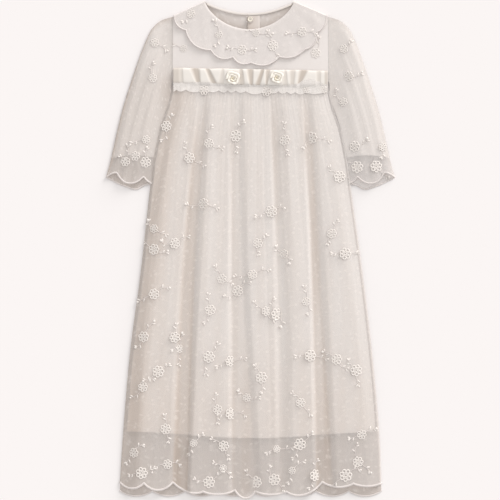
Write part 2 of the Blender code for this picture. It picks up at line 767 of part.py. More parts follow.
def sleeve_section(number, hand, inset, lowest, thickness_above, top_steps, folds):
    """One flattened ring of a sleeve wall, as (x, y, z) points."""
    section = SLEEVE[number]
    width = math.hypot(section.inner_x - section.outer_x, section.inner_y - section.outer_y)
    margin = inset / width
    at_cuff = number == len(SLEEVE) - 1
    points = []
    for i in range(SLEEVE_UNDER_STEPS + 1):
        share = i / SLEEVE_UNDER_STEPS
        reach = flowing([row.share for row in CUFF], [row.back for row in CUFF], share) if at_cuff else 0.0
        x, y = sleeve_place(section, blend(margin, 1.0 - margin, share), reach)
        points.append((x, y, lowest))
    for i in range(top_steps + 1):
        share = 1.0 - i / top_steps
        reach = flowing([row.share for row in CUFF], [row.front for row in CUFF], share) if at_cuff else 0.0
        x, y = sleeve_place(section, blend(margin, 1.0 - margin, share), reach)
        crown = section.rise * max(math.sin(math.pi * share), 0.0) ** SLEEVE_CROWN_POWER
        z = lowest + thickness_above + crown
        if folds:
            fade = ease(number / SLEEVE_HEAD_ROWS)
            creases = [(row.share, row.height) for row in SLEEVE_CREASES]
            z += stepped(creases, share) * fade
            gathers = 0.5 + 0.5 * math.cos(2.0 * math.pi * SLEEVE_HEAD_GATHERS * share)
            at_edge = ease(min(share, 1.0 - share) * SLEEVE_HEAD_EDGE)
            z += SLEEVE_HEAD_HEIGHT * gathers * (1.0 - fade) * at_edge
        points.append((x, y, z))
    return [(-hand * x, y, z) for x, y, z in points]


def make_sleeves():
    """Net sleeves and the lining tubes inside them."""
    lining_room = 2 * LINING + GAP
    net_room = lining_room + 2 * (GAP + NET)
    for name, hand in (("left", -1.0), ("right", 1.0)):
        outer = [sleeve_section(n, hand, 0.0, 0.0, net_room, SLEEVE_TOP_STEPS, True)
                 for n in range(len(SLEEVE))]
        inner = [sleeve_section(n, hand, NET, NET, net_room - 2 * NET, SLEEVE_TOP_STEPS, True)
                 for n in range(len(SLEEVE))]
        wall("sleeve_" + name, "net", outer, inner, ring=True)
        seat = NET + GAP
        outer = [sleeve_section(n, hand, seat, seat, lining_room, SLEEVE_TOP_STEPS // 2, False)
                 for n in range(SLEEVE_LINING_SECTIONS)]
        inner = [sleeve_section(n, hand, seat + LINING, seat + LINING, GAP, SLEEVE_TOP_STEPS // 2, False)
                 for n in range(SLEEVE_LINING_SECTIONS)]
        wall("sleeve_lining_" + name, "lining", outer, inner, ring=True)


def ribbon_under(x, y, ruche):
    """Underside of the ribbon over the front yoke."""
    return yoke_top(x, y) + GAP + ruche


def make_ribbon():
    """Ruched satin ribbon over the waist seam, with its two roses."""
    ruches = []
    for ruche, following in zip(RUCHES, RUCHES[1:]):
        ruches.append(ruche)
        ruches.append(Ruche(*(0.5 * (a + b) for a, b in zip(ruche, following))))
    ruches.append(RUCHES[-1])
    rows = []
    for share, strength in zip(RIBBON_ROWS, RIBBON_EDGE_SHARE):
        row = []
        for ruche in ruches:
            x = blend(ruche.top_x, ruche.bottom_x, share)
            y = waist_y(x) + blend(RIBBON_WIDTH, RIBBON_FOOT, share)
            row.append((x, y, ribbon_under(x, y, ruche.height * strength)))
        rows.append(row)
    wall("ribbon_band", "satin", raised(rows, lambda x, y: RIBBON), rows)

    for rose in ROSETTES:
        heights = [point[2] for row in rows for point in row
                   if math.hypot(point[0] - rose.x, point[1] - rose.y) < rose.radius + ROSETTE_EDGE_LAP]
        make_rosette(rose, max(heights) + RIBBON + GAP)


def make_rosette(rose, seat):
    """A ribbon rose: a low dome with a ridge that coils from its middle to its rim."""
    rings = []
    for j in range(ROSETTE_RINGS + 1):
        share = max(j / ROSETTE_RINGS, ROSETTE_CORE)
        dome = ROSETTE_HEIGHT * math.sqrt(1.0 - (ROSETTE_BULGE * share) ** 2)
        ring = []
        for i in range(ROSETTE_SPOKES):
            angle = 2.0 * math.pi * i / ROSETTE_SPOKES
            coil = math.cos(2.0 * math.pi * rose.radius * share / ROSETTE_PITCH - angle)
            reach = rose.radius * share * (1.0 + ROSETTE_WAVE * share * math.cos(3.0 * angle + rose.x))
            height = seat + ROSETTE_RIM + dome + ROSETTE_RIDGE * coil * min(share * 3.0, 1.0)
            ring.append((rose.x + reach * math.cos(angle), rose.y + reach * math.sin(angle), height))
        rings.append(ring)
    rings.append([(x, y, seat) for x, y, z in rings[-1]])
    tube(rose.name, "rose_satin", rings)


def main():
    """Build the gown."""
    for item in list(bpy.data.objects):
        bpy.data.objects.remove(item, do_unlink=True)
    make_skirt()
    make_yokes()
    make_collar()
    make_sleeves()
    make_ribbon()


main()
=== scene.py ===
"""Lace gown for a small child, laid flat with its front up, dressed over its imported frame.

Sizes are in millimetres in the frame's axes: the neck points to +Y, the hem to -Y and the
front to +Z, and the gown rests on Z = 0. Meshes are made in metres. The outline, the seams
and the long folds repeat the sizes of the frame's solids, and each cloth is a thin shell on
its solid's form.
"""

from __future__ import annotations

import logging
import math
from collections.abc import Sequence
from dataclasses import dataclass
from enum import Enum
from typing import NamedTuple

import bpy
import numpy as np
from bpy.types import ID, Material, Mesh, Node, NodeSocket, NodeTree, Object
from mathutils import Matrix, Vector
from mathutils.bvhtree import BVHTree


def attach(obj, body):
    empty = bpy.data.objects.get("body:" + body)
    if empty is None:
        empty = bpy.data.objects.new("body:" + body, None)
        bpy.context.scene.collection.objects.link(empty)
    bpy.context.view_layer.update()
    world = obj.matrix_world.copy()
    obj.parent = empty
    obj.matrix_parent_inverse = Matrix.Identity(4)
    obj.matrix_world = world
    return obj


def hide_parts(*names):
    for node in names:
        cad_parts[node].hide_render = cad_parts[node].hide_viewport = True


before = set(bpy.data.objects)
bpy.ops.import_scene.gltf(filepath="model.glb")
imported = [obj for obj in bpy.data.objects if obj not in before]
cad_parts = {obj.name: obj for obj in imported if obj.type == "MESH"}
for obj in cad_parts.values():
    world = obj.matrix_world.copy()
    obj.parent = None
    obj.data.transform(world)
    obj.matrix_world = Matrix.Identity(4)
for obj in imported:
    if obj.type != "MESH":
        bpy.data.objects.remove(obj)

MM = 0.001
BODY = "root"
LOG = logging.getLogger("gown")

# Cloth walls of the frame's solids, and the gap between pieces
WALL = 1.0
YOKE_WALL = 1.2
GAP = 0.3
HALF_WALL = 0.5 * WALL


class Slot(Enum):
    """Material slots of the record."""

    NET = "net"
    LINING = "lining"
    YOKE_NET = "yoke_net"
    COLLAR_NET = "collar_net"
    BINDING = "binding"
    SATIN = "satin"
    ROSE_SATIN = "rose_satin"
    BUTTON = "button"
    THREAD = "thread"


class Held(Enum):
    """Ways in which a sheet of cloth is held."""

    GATHERED = "gathered"
    LAID = "laid"
    FOLDED = "folded"


class Motif(Enum):
    """Embroidered figures."""

    DAISY = 0
    LEAF = 1
    BUD = 2


class Side(NamedTuple):
    """Left and right edge of the skirt at a height."""

    y: float
    left: float
    right: float


class Fold(NamedTuple):
    """Crest or valley of a long fold: its place and rise at the waist, half way and hem."""

    waist_x: float
    middle_x: float
    hem_x: float
    waist_z: float
    middle_z: float
    hem_z: float


class Scallop(NamedTuple):
    """Cusp of a scalloped edge, and the drop of the scallop that follows it."""

    x: float
    y: float
    drop: float


class Section(NamedTuple):
    """Row across a sleeve, from its outer edge to its inner one."""

    outer_x: float
    outer_y: float
    inner_x: float
    inner_y: float
    rise: float


class Crease(NamedTuple):
    """Crest or valley that runs down a sleeve: its place across and its height."""

    share: float
    height: float


class Cuff(NamedTuple):
    """Hang of a cuff's two layers below the cuff line, at a place across the sleeve."""

    share: float
    front: float
    back: float


class Tuck(NamedTuple):
    """Tuck across the ribbon, sunk and painted dark as shade: its place and half its width at both edges, and
    its depth.
    """

    top_x: float
    bottom_x: float
    top_half: float
    bottom_half: float
    depth: float


class Bloom(NamedTuple):
    """A daisy on the cloth: its place and its size as a share of the usual one."""

    x: float
    y: float
    size: float


class Figure(NamedTuple):
    """A motif on the cloth: its kind, point and normal, turn in radians, and size."""

    kind: Motif
    point: Vector
    normal: Vector
    turn: float
    size: float


class Pleats(NamedTuple):
    """A set of small pleats: height, number, shortest and longest run as a share, and seed."""

    height: float
    count: int
    shortest: float
    longest: float
    seed: int


Array = np.ndarray
Measure = float | Array
Pair = tuple[float, float]


def blend(low: Measure, high: Measure, share: Measure) -> Measure:
    """Return the value that lies at a share of the way from low to high."""
    return low + (high - low) * share


def xyz(x: Array, y: Array, z: Array) -> Array:
    """Return points from their coordinates."""
    return np.stack((x, y, z), axis=-1)


def ease(share: Measure) -> Measure:
    """Return a smooth step from 0 to 1."""
    share = np.clip(share, 0.0, 1.0)
    return share * share * (3.0 - 2.0 * share)


def flowing(keys: Sequence[float], values: Sequence[float], at: Array) -> Array:
    """Follow a smooth curve through rising keys.

    Args:
        keys: Places of the given values, in rising order.
        values: The values at the keys.
        at: Places at which the curve is read.

    Returns:
        The curve's value at each place, held at the ends.
    """
    keys = np.asarray(keys, float)
    values = np.asarray(values, float)
    slopes = np.empty_like(values)
    slopes[1:-1] = (values[2:] - values[:-2]) / (keys[2:] - keys[:-2])
    slopes[0] = (values[1] - values[0]) / (keys[1] - keys[0])
    slopes[-1] = (values[-1] - values[-2]) / (keys[-1] - keys[-2])
    at = np.clip(at, keys[0], keys[-1])
    index = np.clip(np.searchsorted(keys, at, side="right") - 1, 0, len(keys) - 2)
    span = keys[index + 1] - keys[index]
    share = (at - keys[index]) / span
    square = share * share
    cube = square * share
    return ((2 * cube - 3 * square + 1) * values[index]
            + (cube - 2 * square + share) * span * slopes[index]
            + (3 * square - 2 * cube) * values[index + 1]
            + (cube - square) * span * slopes[index + 1])


def stepped(places: Sequence[Array], heights: Sequence[Array], at: Array) -> Array:
    """Join crests and valleys by smooth steps.

    Args:
        places: Place of each crest or valley, in rising order.
        heights: Its height.
        at: Places at which the profile is read.

    Returns:
        The height at each place.
    """
    result = np.broadcast_to(heights[0], np.shape(at)).astype(float)
    for index in range(len(places) - 1):
        share = (at - places[index]) / (places[index + 1] - places[index])
        step = blend(heights[index], heights[index + 1], ease(share))
        result = np.where(at > places[index], step, result)
    return result


def ripple(across: Array, along: Array, pleats: Pleats, seed_shift: int = 0) -> Array:
    """Make uneven small pleats that start at one end and fade along the cloth.

    Args:
        across: Share across the cloth, 0 to 1.
        along: Share along the pleats, 0 to 1.
        pleats: Their height, number, runs and seed.
        seed_shift: Added to the seed, for a second piece of the same cut.

    Returns:
        Height of the pleats, 0 up to their full height.
    """
    seed = pleats.seed + seed_shift
    random = np.random.default_rng(seed)
    points = 2 * pleats.count + 2
    height = random.uniform(0.35, 1.0, points) * (np.arange(points) % 2)
    length = random.uniform(pleats.shortest, pleats.longest, points)
    number = np.clip(across, 0.0, 1.0) * 2 * pleats.count
    # Two waves of unlike length keep the pleats from being evenly spaced.
    number = number + 0.35 * np.sin(across * 61.0 + seed) + 0.25 * np.sin(across * 143.0)
    number = np.clip(number, 0.0, 2.0 * pleats.count)
    index = number.astype(int)
    share = ease(number - index)
    here = height[index] * (1.0 - ease(along / length[index]))
    after = height[index + 1] * (1.0 - ease(along / length[index + 1]))
    return pleats.height * blend(here, after, share)


def drift(x: Array, y: Array, seed: int) -> Array:
    """Make slow uneven waves over a cloth, longer along Y than along X.

    Args:
        x: Places across, in millimetres.
        y: Places along, in millimetres.
        seed: Seed of the waves.

    Returns:
        Height of the waves, -1 to 1.
    """
    random = np.random.default_rng(seed)
    waves = 6
    total = 0.0
    for _ in range(waves):
        wave_x, wave_y = random.uniform(0.02, 0.09), random.uniform(-0.022, 0.022)
        total = total + np.sin(x * wave_x + y * wave_y + random.uniform(0.0, 6.3))
    return total / waves


def rounded(distance: Array, radius: float) -> Array:
    """Return the rise of a rounded edge, 0 at the edge and 1 beyond its radius."""
    inward = 1.0 - np.clip(distance / radius, 0.0, 1.0)
    return np.sqrt(np.clip(1.0 - inward * inward, 0.0, 1.0))


def brim(distance: Array, roll: float, slope: float) -> Array:
    """Return the rise of a soft cloth edge: a small roll, then a long slope."""
    return 0.5 * rounded(distance, roll) + 0.5 * ease(distance / slope)


def linear(hex_colour: str) -> tuple[float, float, float, float]:
    """Turn a colour into what a shader takes.

    Args:
        hex_colour: sRGB colour, written as #RRGGBB.

    Returns:
        Linear red, green and blue, and an alpha of 1.
    """
    channels = [int(hex_colour[i:i + 2], 16) / 255.0 for i in (1, 3, 5)]
    toned = [c / 12.92 if c <= 0.04045 else ((c + 0.055) / 1.055) ** 2.4 for c in channels]
    return toned[0], toned[1], toned[2], 1.0


def add_node(tree: NodeTree, kind: str, settings: dict | None = None,
             inputs: dict | None = None) -> Node:
    """Add a node with its settings, values and links.

    Args:
        tree: Node tree that takes the node.
        kind: Blender's name of the node type.
        settings: Properties of the node.
        inputs: A value for each input, or the socket that feeds it, by name or number.

    Returns:
        The new node.
    """
    node = tree.nodes.new(kind)
    for name, value in (settings or {}).items():
        setattr(node, name, value)
    for key, value in (inputs or {}).items():
        if isinstance(value, list):
            for source in value:
                tree.links.new(source, node.inputs[key])
        elif isinstance(value, NodeSocket):
            tree.links.new(value, node.inputs[key])
        else:
            node.inputs[key].default_value = value
    return node


def principled(name: str, values: dict[str, float]
               ) -> tuple[Material, NodeTree, Node]:
    """Start a material.

    Args:
        name: Name of the material.
        values: Plain values of the shader's inputs.

    Returns:
        The material, its tree and its Principled shader.
    """
    made = bpy.data.materials.new(name)
    made.use_nodes = True
    shader = made.node_tree.nodes["Principled BSDF"]
    for label, value in values.items():
        shader.inputs[label].default_value = value
    return made, made.node_tree, shader


def add_shade(tree: NodeTree) -> NodeSocket:
    """Add the socket of the shade attribute: painted shade, or on the rose its own yellower centre."""
    return add_node(tree, "ShaderNodeAttribute", {"attribute_name": "shade"}).outputs["Fac"]


def add_mix(tree: NodeTree, factor: NodeSocket, first: NodeSocket | str, second: str) -> NodeSocket:
    """Add a mix of a colour or its socket with a second colour, and return its socket."""
    return add_node(tree, "ShaderNodeMix", {"data_type": "RGBA"},
                    {"Factor": factor, "A": linear(first) if isinstance(first, str) else first,
                     "B": linear(second)}).outputs["Result"]


def add_bump(tree: NodeTree, shader: Node, height: NodeSocket,
             strength: float, depth_mm: float) -> None:
    """Raise the surface by a pattern that stands for a height in millimetres."""
    bump = add_node(tree, "ShaderNodeBump", None,
                    {"Strength": strength, "Distance": depth_mm * MM, "Height": height})
    tree.links.new(bump.outputs["Normal"], shader.inputs["Normal"])


def add_bands(tree: NodeTree, place: NodeSocket, size_mm: float, direction: str,
              distortion: float) -> NodeSocket:
    """Add threads of a width, side by side, and return the socket of their pattern."""
    bands = add_node(tree, "ShaderNodeTexWave", {"wave_type": "BANDS", "bands_direction": direction},
                     {"Vector": place, "Scale": 1.0 / (size_mm * MM * 2.0 * math.pi),
                      "Distortion": distortion})
    return bands.outputs["Fac"]


def add_cells(tree: NodeTree, place: NodeSocket, size_mm: float,
              feature: str = "DISTANCE_TO_EDGE", randomness: float = 1.0) -> NodeSocket:
    """Add cells of a width and return the socket of the distance in them."""
    cells = add_node(tree, "ShaderNodeTexVoronoi", {"feature": feature, "voronoi_dimensions": "2D"},
                     {"Vector": place, "Scale": 1.0 / (size_mm * MM), "Randomness": randomness})
    return cells.outputs["Distance"]


def add_fade(tree: NodeTree, distance: NodeSocket, full: float, none: float,
             strength: float = 1.0) -> NodeSocket:
    """Add a line or spot that fades from its full strength to none, and return its socket."""
    fade = add_node(tree, "ShaderNodeMapRange", {"interpolation_type": "SMOOTHSTEP"},
                    {"Value": distance, "From Min": full, "From Max": none,
                     "To Min": strength, "To Max": 0.0})
    return fade.outputs["Result"]


@dataclass(frozen=True)
class Tulle:
    """Nylon bobbinet: soft matt threads round small holes, so what lies below shows through.

    The holes of real tulle are about 1 mm across, too fine for the render, so the cells are
    drawn at 2.2 mm. The fold colour is painted shade: where the shade attribute is high, in folds
    and other shaded places, the colour turns darker and warmer, and the net is closer there.
    """

    name: str = "nylon_tulle_knitted"
    thread: str = "#E4DEDA"
    # Painted shade: the darker, warmer colour that folds and shaded places turn to.
    fold: str = "#C8BAAF"
    cell_mm: float = 2.2
    open_alpha: float = 0.43
    thread_alpha: float = 0.53
    fold_alpha: float = 0.22
    sewn: str = "#EDE6E1"
    fleck_mm: float = 15.0
    vine_mm: float = 30.0
    leaf_strength: float = 0.42
    vine_strength: float = 0.16
    sewn_alpha: float = 0.14
    see_through: bool = True

    def make(self) -> Material:
        """Build the material.

        Returns:
            The material.
        """
        made, tree, shader = principled(
            self.name, {"Roughness": 0.8, "Specular IOR Level": 0.25, "Sheen Weight": 0.15})
        place = add_node(tree, "ShaderNodeTexCoord").outputs["UV"]
        thread = add_fade(tree, add_cells(tree, place, self.cell_mm, randomness=0.9), 0.06, 0.22)
        shade = add_shade(tree)
        sewn = self.sewn_figure(tree, place)
        # Painted shade: the shade attribute turns the thread colour to the darker fold colour.
        colour = add_mix(tree, sewn, add_mix(tree, shade, self.thread, self.fold), self.sewn)
        tree.links.new(colour, shader.inputs["Base Color"])
        add_bump(tree, shader, thread, 0.12, 0.3)
        if self.see_through:
            cover = add_node(tree, "ShaderNodeMapRange", None,
                             {"Value": thread, "To Min": self.open_alpha, "To Max": self.thread_alpha})
            alpha = cover.outputs["Result"]
            for mask, gain in ((shade, self.fold_alpha), (sewn, self.sewn_alpha)):
                closed = add_node(tree, "ShaderNodeMath", {"operation": "MULTIPLY_ADD", "use_clamp": True},
                                  {0: mask, 1: gain, 2: alpha})
                alpha = closed.outputs["Value"]
            tree.links.new(alpha, shader.inputs["Alpha"])
        return made

    def sewn_figure(self, tree: NodeTree, place: NodeSocket) -> NodeSocket:
        """Add small sewn leaves, and vines that wander between them.

        Args:
            tree: Node tree of the material.
            place: Place on the cloth, in metres.

        Returns:
            Socket that is highest on the thread and 0 beside it.
        """
        bent = add_node(tree, "ShaderNodeTexNoise", {"noise_dimensions": "2D"},
                        {"Vector": place, "Scale": 1.0 / (self.fleck_mm * MM), "Detail": 1.0})
        swayed = add_node(tree, "ShaderNodeVectorMath", {"operation": "MULTIPLY_ADD"},
                          {0: bent.outputs["Color"], 1: (0.6 * self.fleck_mm * MM,) * 3, 2: place})
        wandering = swayed.outputs["Vector"]
        spots = add_cells(tree, wandering, self.fleck_mm, feature="F1")
        leaves = add_fade(tree, spots, 0.05, 0.24, self.leaf_strength)
        vines = add_fade(tree, add_cells(tree, wandering, self.vine_mm), 0.01, 0.05, self.vine_strength)
        both = add_node(tree, "ShaderNodeMath", {"operation": "MAXIMUM"}, {0: leaves, 1: vines})
        return both.outputs["Value"]


@dataclass(frozen=True)
class Lining:
    """Woven cotton lawn: smooth, matt and opaque, with a plain weave that barely shows.

    The weave of real lawn is 0.3 mm, drawn here at 1.2 mm.
    """

    name: str = "cotton_lawn_woven"
    colour: str = "#F0EBE7"
    # Painted shade: the warm colour that shaded folds of the lining turn to.
    fold: str = "#E2C9B0"
    weave_mm: float = 1.2

    def make(self) -> Material:
        """Build the material.

        Returns:
            The material.
        """
        made, tree, shader = principled(self.name, {"Roughness": 0.75, "Specular IOR Level": 0.3})
        place = add_node(tree, "ShaderNodeTexCoord").outputs["UV"]
        weave = add_node(tree, "ShaderNodeTexChecker", None,
                         {"Vector": place, "Scale": 1.0 / (self.weave_mm * MM)})
        add_bump(tree, shader, weave.outputs["Fac"], 0.05, 0.1)
        # Painted shade: the shade attribute turns the lawn to its darker fold colour.
        tree.links.new(add_mix(tree, add_shade(tree), self.colour, self.fold), shader.inputs["Base Color"])
        return made


@dataclass(frozen=True)
class Satin:
    """Woven polyester satin: long floats give a bright, smooth sheen with soft highlights."""

    name: str = "polyester_satin_woven"
    colour: str = "#E9E3DC"
    # Painted shade on the ribbon: the dark colour of its tucks and ends. On the rose it is the rose's own
    # yellower centre, not shade.
    deep: str = "#C3B7AB"
    roughness: float = 0.42
    thread_mm: float = 0.9

    def make(self) -> Material:
        """Build the material.

        Returns:
            The material.
        """
        made, tree, shader = principled(self.name, {"Roughness": self.roughness, "Sheen Weight": 0.2})
        place = add_node(tree, "ShaderNodeTexCoord").outputs["UV"]
        add_bump(tree, shader, add_bands(tree, place, self.thread_mm, "Y", 0.6), 0.1, 0.1)
        # Painted shade: the shade attribute turns the satin to its deep colour (on the rose, its own centre
        # colour).
        tree.links.new(add_mix(tree, add_shade(tree), self.colour, self.deep), shader.inputs["Base Color"])
        return made


@dataclass(frozen=True)
class Embroidery:
    """Rayon embroidery thread laid in satin stitch: paler than the net, with a silky gleam."""

    name: str = "rayon_thread_embroidered"
    colour: str = "#E9E2DC"
    stitch_mm: float = 0.8

    def make(self) -> Material:
        """Build the material.

        Returns:
            The material.
        """
        made, tree, shader = principled(
            self.name, {"Base Color": linear(self.colour), "Roughness": 0.5, "Sheen Weight": 0.25})
        place = add_node(tree, "ShaderNodeTexCoord").outputs["Object"]
        add_bump(tree, shader, add_bands(tree, place, self.stitch_mm, "DIAGONAL", 1.5), 0.2, 0.15)
        return made


@dataclass(frozen=True)
class ButtonResin:
    """Moulded polyester resin, tumbled to a pearly polish."""

    name: str = "polyester_resin_tumbled"
    colour: str = "#F2EBDF"
    cloud: str = "#E6DCCB"

    def make(self) -> Material:
        """Build the material.

        Returns:
            The material.
        """
        made, tree, shader = principled(self.name, {"Roughness": 0.25, "Coat Weight": 0.3})
        place = add_node(tree, "ShaderNodeTexCoord").outputs["Object"]
        cloud = add_node(tree, "ShaderNodeTexNoise", None, {"Vector": place, "Scale": 320.0, "Detail": 3.0})
        colour = add_mix(tree, cloud.outputs["Fac"], self.colour, self.cloud)
        tree.links.new(colour, shader.inputs["Base Color"])
        return made


@dataclass(frozen=True)
class Paper:
    """Matt white paper backdrop."""

    name: str = "backdrop_paper"
    colour: str = "#F3EFEE"

    def make(self) -> Material:
        """Return the material."""
        return principled(
            self.name, {"Base Color": linear(self.colour), "Roughness": 0.95, "Specular IOR Level": 0.0})[0]


def linked(name: str, data: ID) -> Object:
    """Make an object and put it in the scene.

    Args:
        name: Name of the object.
        data: Its mesh, light or camera.

    Returns:
        The object.
    """
    item = bpy.data.objects.new(name, data)
    bpy.context.scene.collection.objects.link(item)
    return item


def running_length(line: Array) -> Array:
    """Return the length up to each point of a line in millimetres, in metres."""
    steps = np.linalg.norm(np.diff(line, axis=0), axis=1)
    return np.concatenate(([0.0], np.cumsum(steps))) * MM


def grid_object(name: str, points: Array, material: Material, ring: bool = False,
                turned: bool = False, shade: Array | None = None) -> Object:
    """Make a cloth shell from a grid of points, with its own length as its UV map.

    Args:
        name: Name of the object.
        points: Rows by columns by three, in millimetres; rows run down and columns to the right.
        material: Material of the shell.
        ring: Whether each row closes on itself.
        turned: Whether the faces point the other way.
        shade: Painted shade of each point, 0 to 1; on the rose, the share of its own yellower centre.

    Returns:
        The object, with smooth faces.
    """
    rows, columns = points.shape[:2]
    spans = columns if ring else columns - 1
    row, column = np.meshgrid(np.arange(rows - 1), np.arange(spans), indexing="ij")
    following = (column + 1) % columns
    corners = [(row, column), (row + 1, column), (row + 1, following), (row, following)]
    order = [3, 2, 1, 0] if turned else [0, 1, 2, 3]
    faces = np.stack([corners[k][0] * columns + corners[k][1] for k in order], axis=-1)
    mesh = bpy.data.meshes.new(name)
    mesh.from_pydata((points.reshape(-1, 3) * MM).tolist(), [], faces.reshape(-1, 4).tolist())
    middle = points[rows // 2]
    across = running_length(np.vstack((middle, middle[:1])))
    down = running_length(points[:, columns // 2])
    unrolled = [(row, column), (row + 1, column), (row + 1, column + 1), (row, column + 1)]
    uv = np.stack([np.stack((across[unrolled[k][1]], down[unrolled[k][0]]), axis=-1) for k in order], axis=2)
    mesh.uv_layers.new(name="cloth").data.foreach_set("uv", uv.reshape(-1).astype(np.float32))
    depth = np.zeros(rows * columns) if shade is None else np.clip(shade, 0.0, 1.0).reshape(-1)
    mesh.attributes.new("shade", "FLOAT", "POINT").data.foreach_set("value", depth.astype(np.float32))
    mesh.materials.append(material)
    mesh.shade_smooth()
    return linked(name, mesh)


def seated(item: Object, replaces: Sequence[str] = ()) -> Object:
    """Let a finished piece ride on the gown.

    Args:
        item: The piece.
        replaces: Frame nodes that it stands for.

    Returns:
        The piece.
    """
    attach(item, BODY)
    if replaces:
        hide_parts(*replaces)
    LOG.info("%s: %d faces", item.name, len(item.data.polygons))
    return item


class Surface:
    """A cloth that motifs and threads lie on."""

    def __init__(self, item: Object, upward: bool = True) -> None:
        """Keep the cloth's faces.

        Args:
            item: The cloth.
            upward: Whether it is touched from above, and not from below.
        """
        mesh = item.data
        self.up = 1.0 if upward else -1.0
        self.tree = BVHTree.FromPolygons([v.co[:] for v in mesh.vertices],
                                         [tuple(p.vertices) for p in mesh.polygons])

    def touch(self, x: float, y: float) -> tuple[Vector, Vector] | None:
        """Find the cloth at a place in plan.

        Args:
            x: Place in millimetres.
            y: Place in millimetres.

        Returns:
            Point and outward normal in metres, or None beside the cloth.
        """
        start = Vector((x * MM, y * MM, self.up * 0.2))
        point, normal, _, _ = self.tree.ray_cast(start, Vector((0.0, 0.0, -self.up)))
        if point is None:
            return None
        if normal.z * self.up < 0.0:
            normal.negate()
        return point, normal


def new_tree(name: str, sockets: dict[str, tuple[str, object]]) -> tuple[NodeTree, Node]:
    """Start a geometry node tree with named inputs.

    Args:
        name: Name of the tree.
        sockets: Type and default value of each input.

    Returns:
        The tree and its input node.
    """
    tree = bpy.data.node_groups.new(name, "GeometryNodeTree")
    tree.interface.new_socket(name="Geometry", in_out="INPUT", socket_type="NodeSocketGeometry")
    for label, (kind, value) in sockets.items():
        socket = tree.interface.new_socket(name=label, in_out="INPUT", socket_type=kind)
        if value is not None:
            socket.default_value = value
    tree.interface.new_socket(name="Geometry", in_out="OUTPUT", socket_type="NodeSocketGeometry")
    return tree, add_node(tree, "NodeGroupInput")


def end_tree(tree: NodeTree, given: Node, parts: list[NodeSocket]) -> None:
    """Join the parts of a geometry node tree, give them its material and put them out.

    Args:
        tree: The tree.
        given: Its input node.
        parts: Sockets of the parts.
    """
    joined = add_node(tree, "GeometryNodeJoinGeometry", None, {"Geometry": parts})
    plain = add_node(tree, "GeometryNodeRealizeInstances", None, {"Geometry": joined.outputs["Geometry"]})
    dressed = add_node(tree, "GeometryNodeSetMaterial", None,
                       {"Geometry": plain.outputs["Geometry"], "Material": given.outputs["Material"]})
    add_node(tree, "NodeGroupOutput", None, {"Geometry": dressed.outputs["Geometry"]})


def grown(name: str, base: Mesh, tree: NodeTree,
          values: dict[str, object]) -> Object:
    """Grow a plain mesh from a base by a geometry node tree.

    Args:
        name: Name of the new object.
        base: Points or lines that the tree starts from.
        tree: The tree.
        values: A value for each named input that differs from its default.

    Returns:
        The object, with no modifier.
    """
    carrier = linked(name + "_base", base)
    modifier = carrier.modifiers.new("grow", "NODES")
    modifier.node_group = tree
    named = {item.name: item.identifier for item in tree.interface.items_tree if item.in_out == "INPUT"}
    for label, value in values.items():
        modifier[named[label]] = value
    evaluated = carrier.evaluated_get(bpy.context.evaluated_depsgraph_get())
    mesh = bpy.data.meshes.new_from_object(evaluated)
    mesh.name = name
    mesh.shade_smooth()
    item = linked(name, mesh)
    bpy.data.objects.remove(carrier, do_unlink=True)
    return item


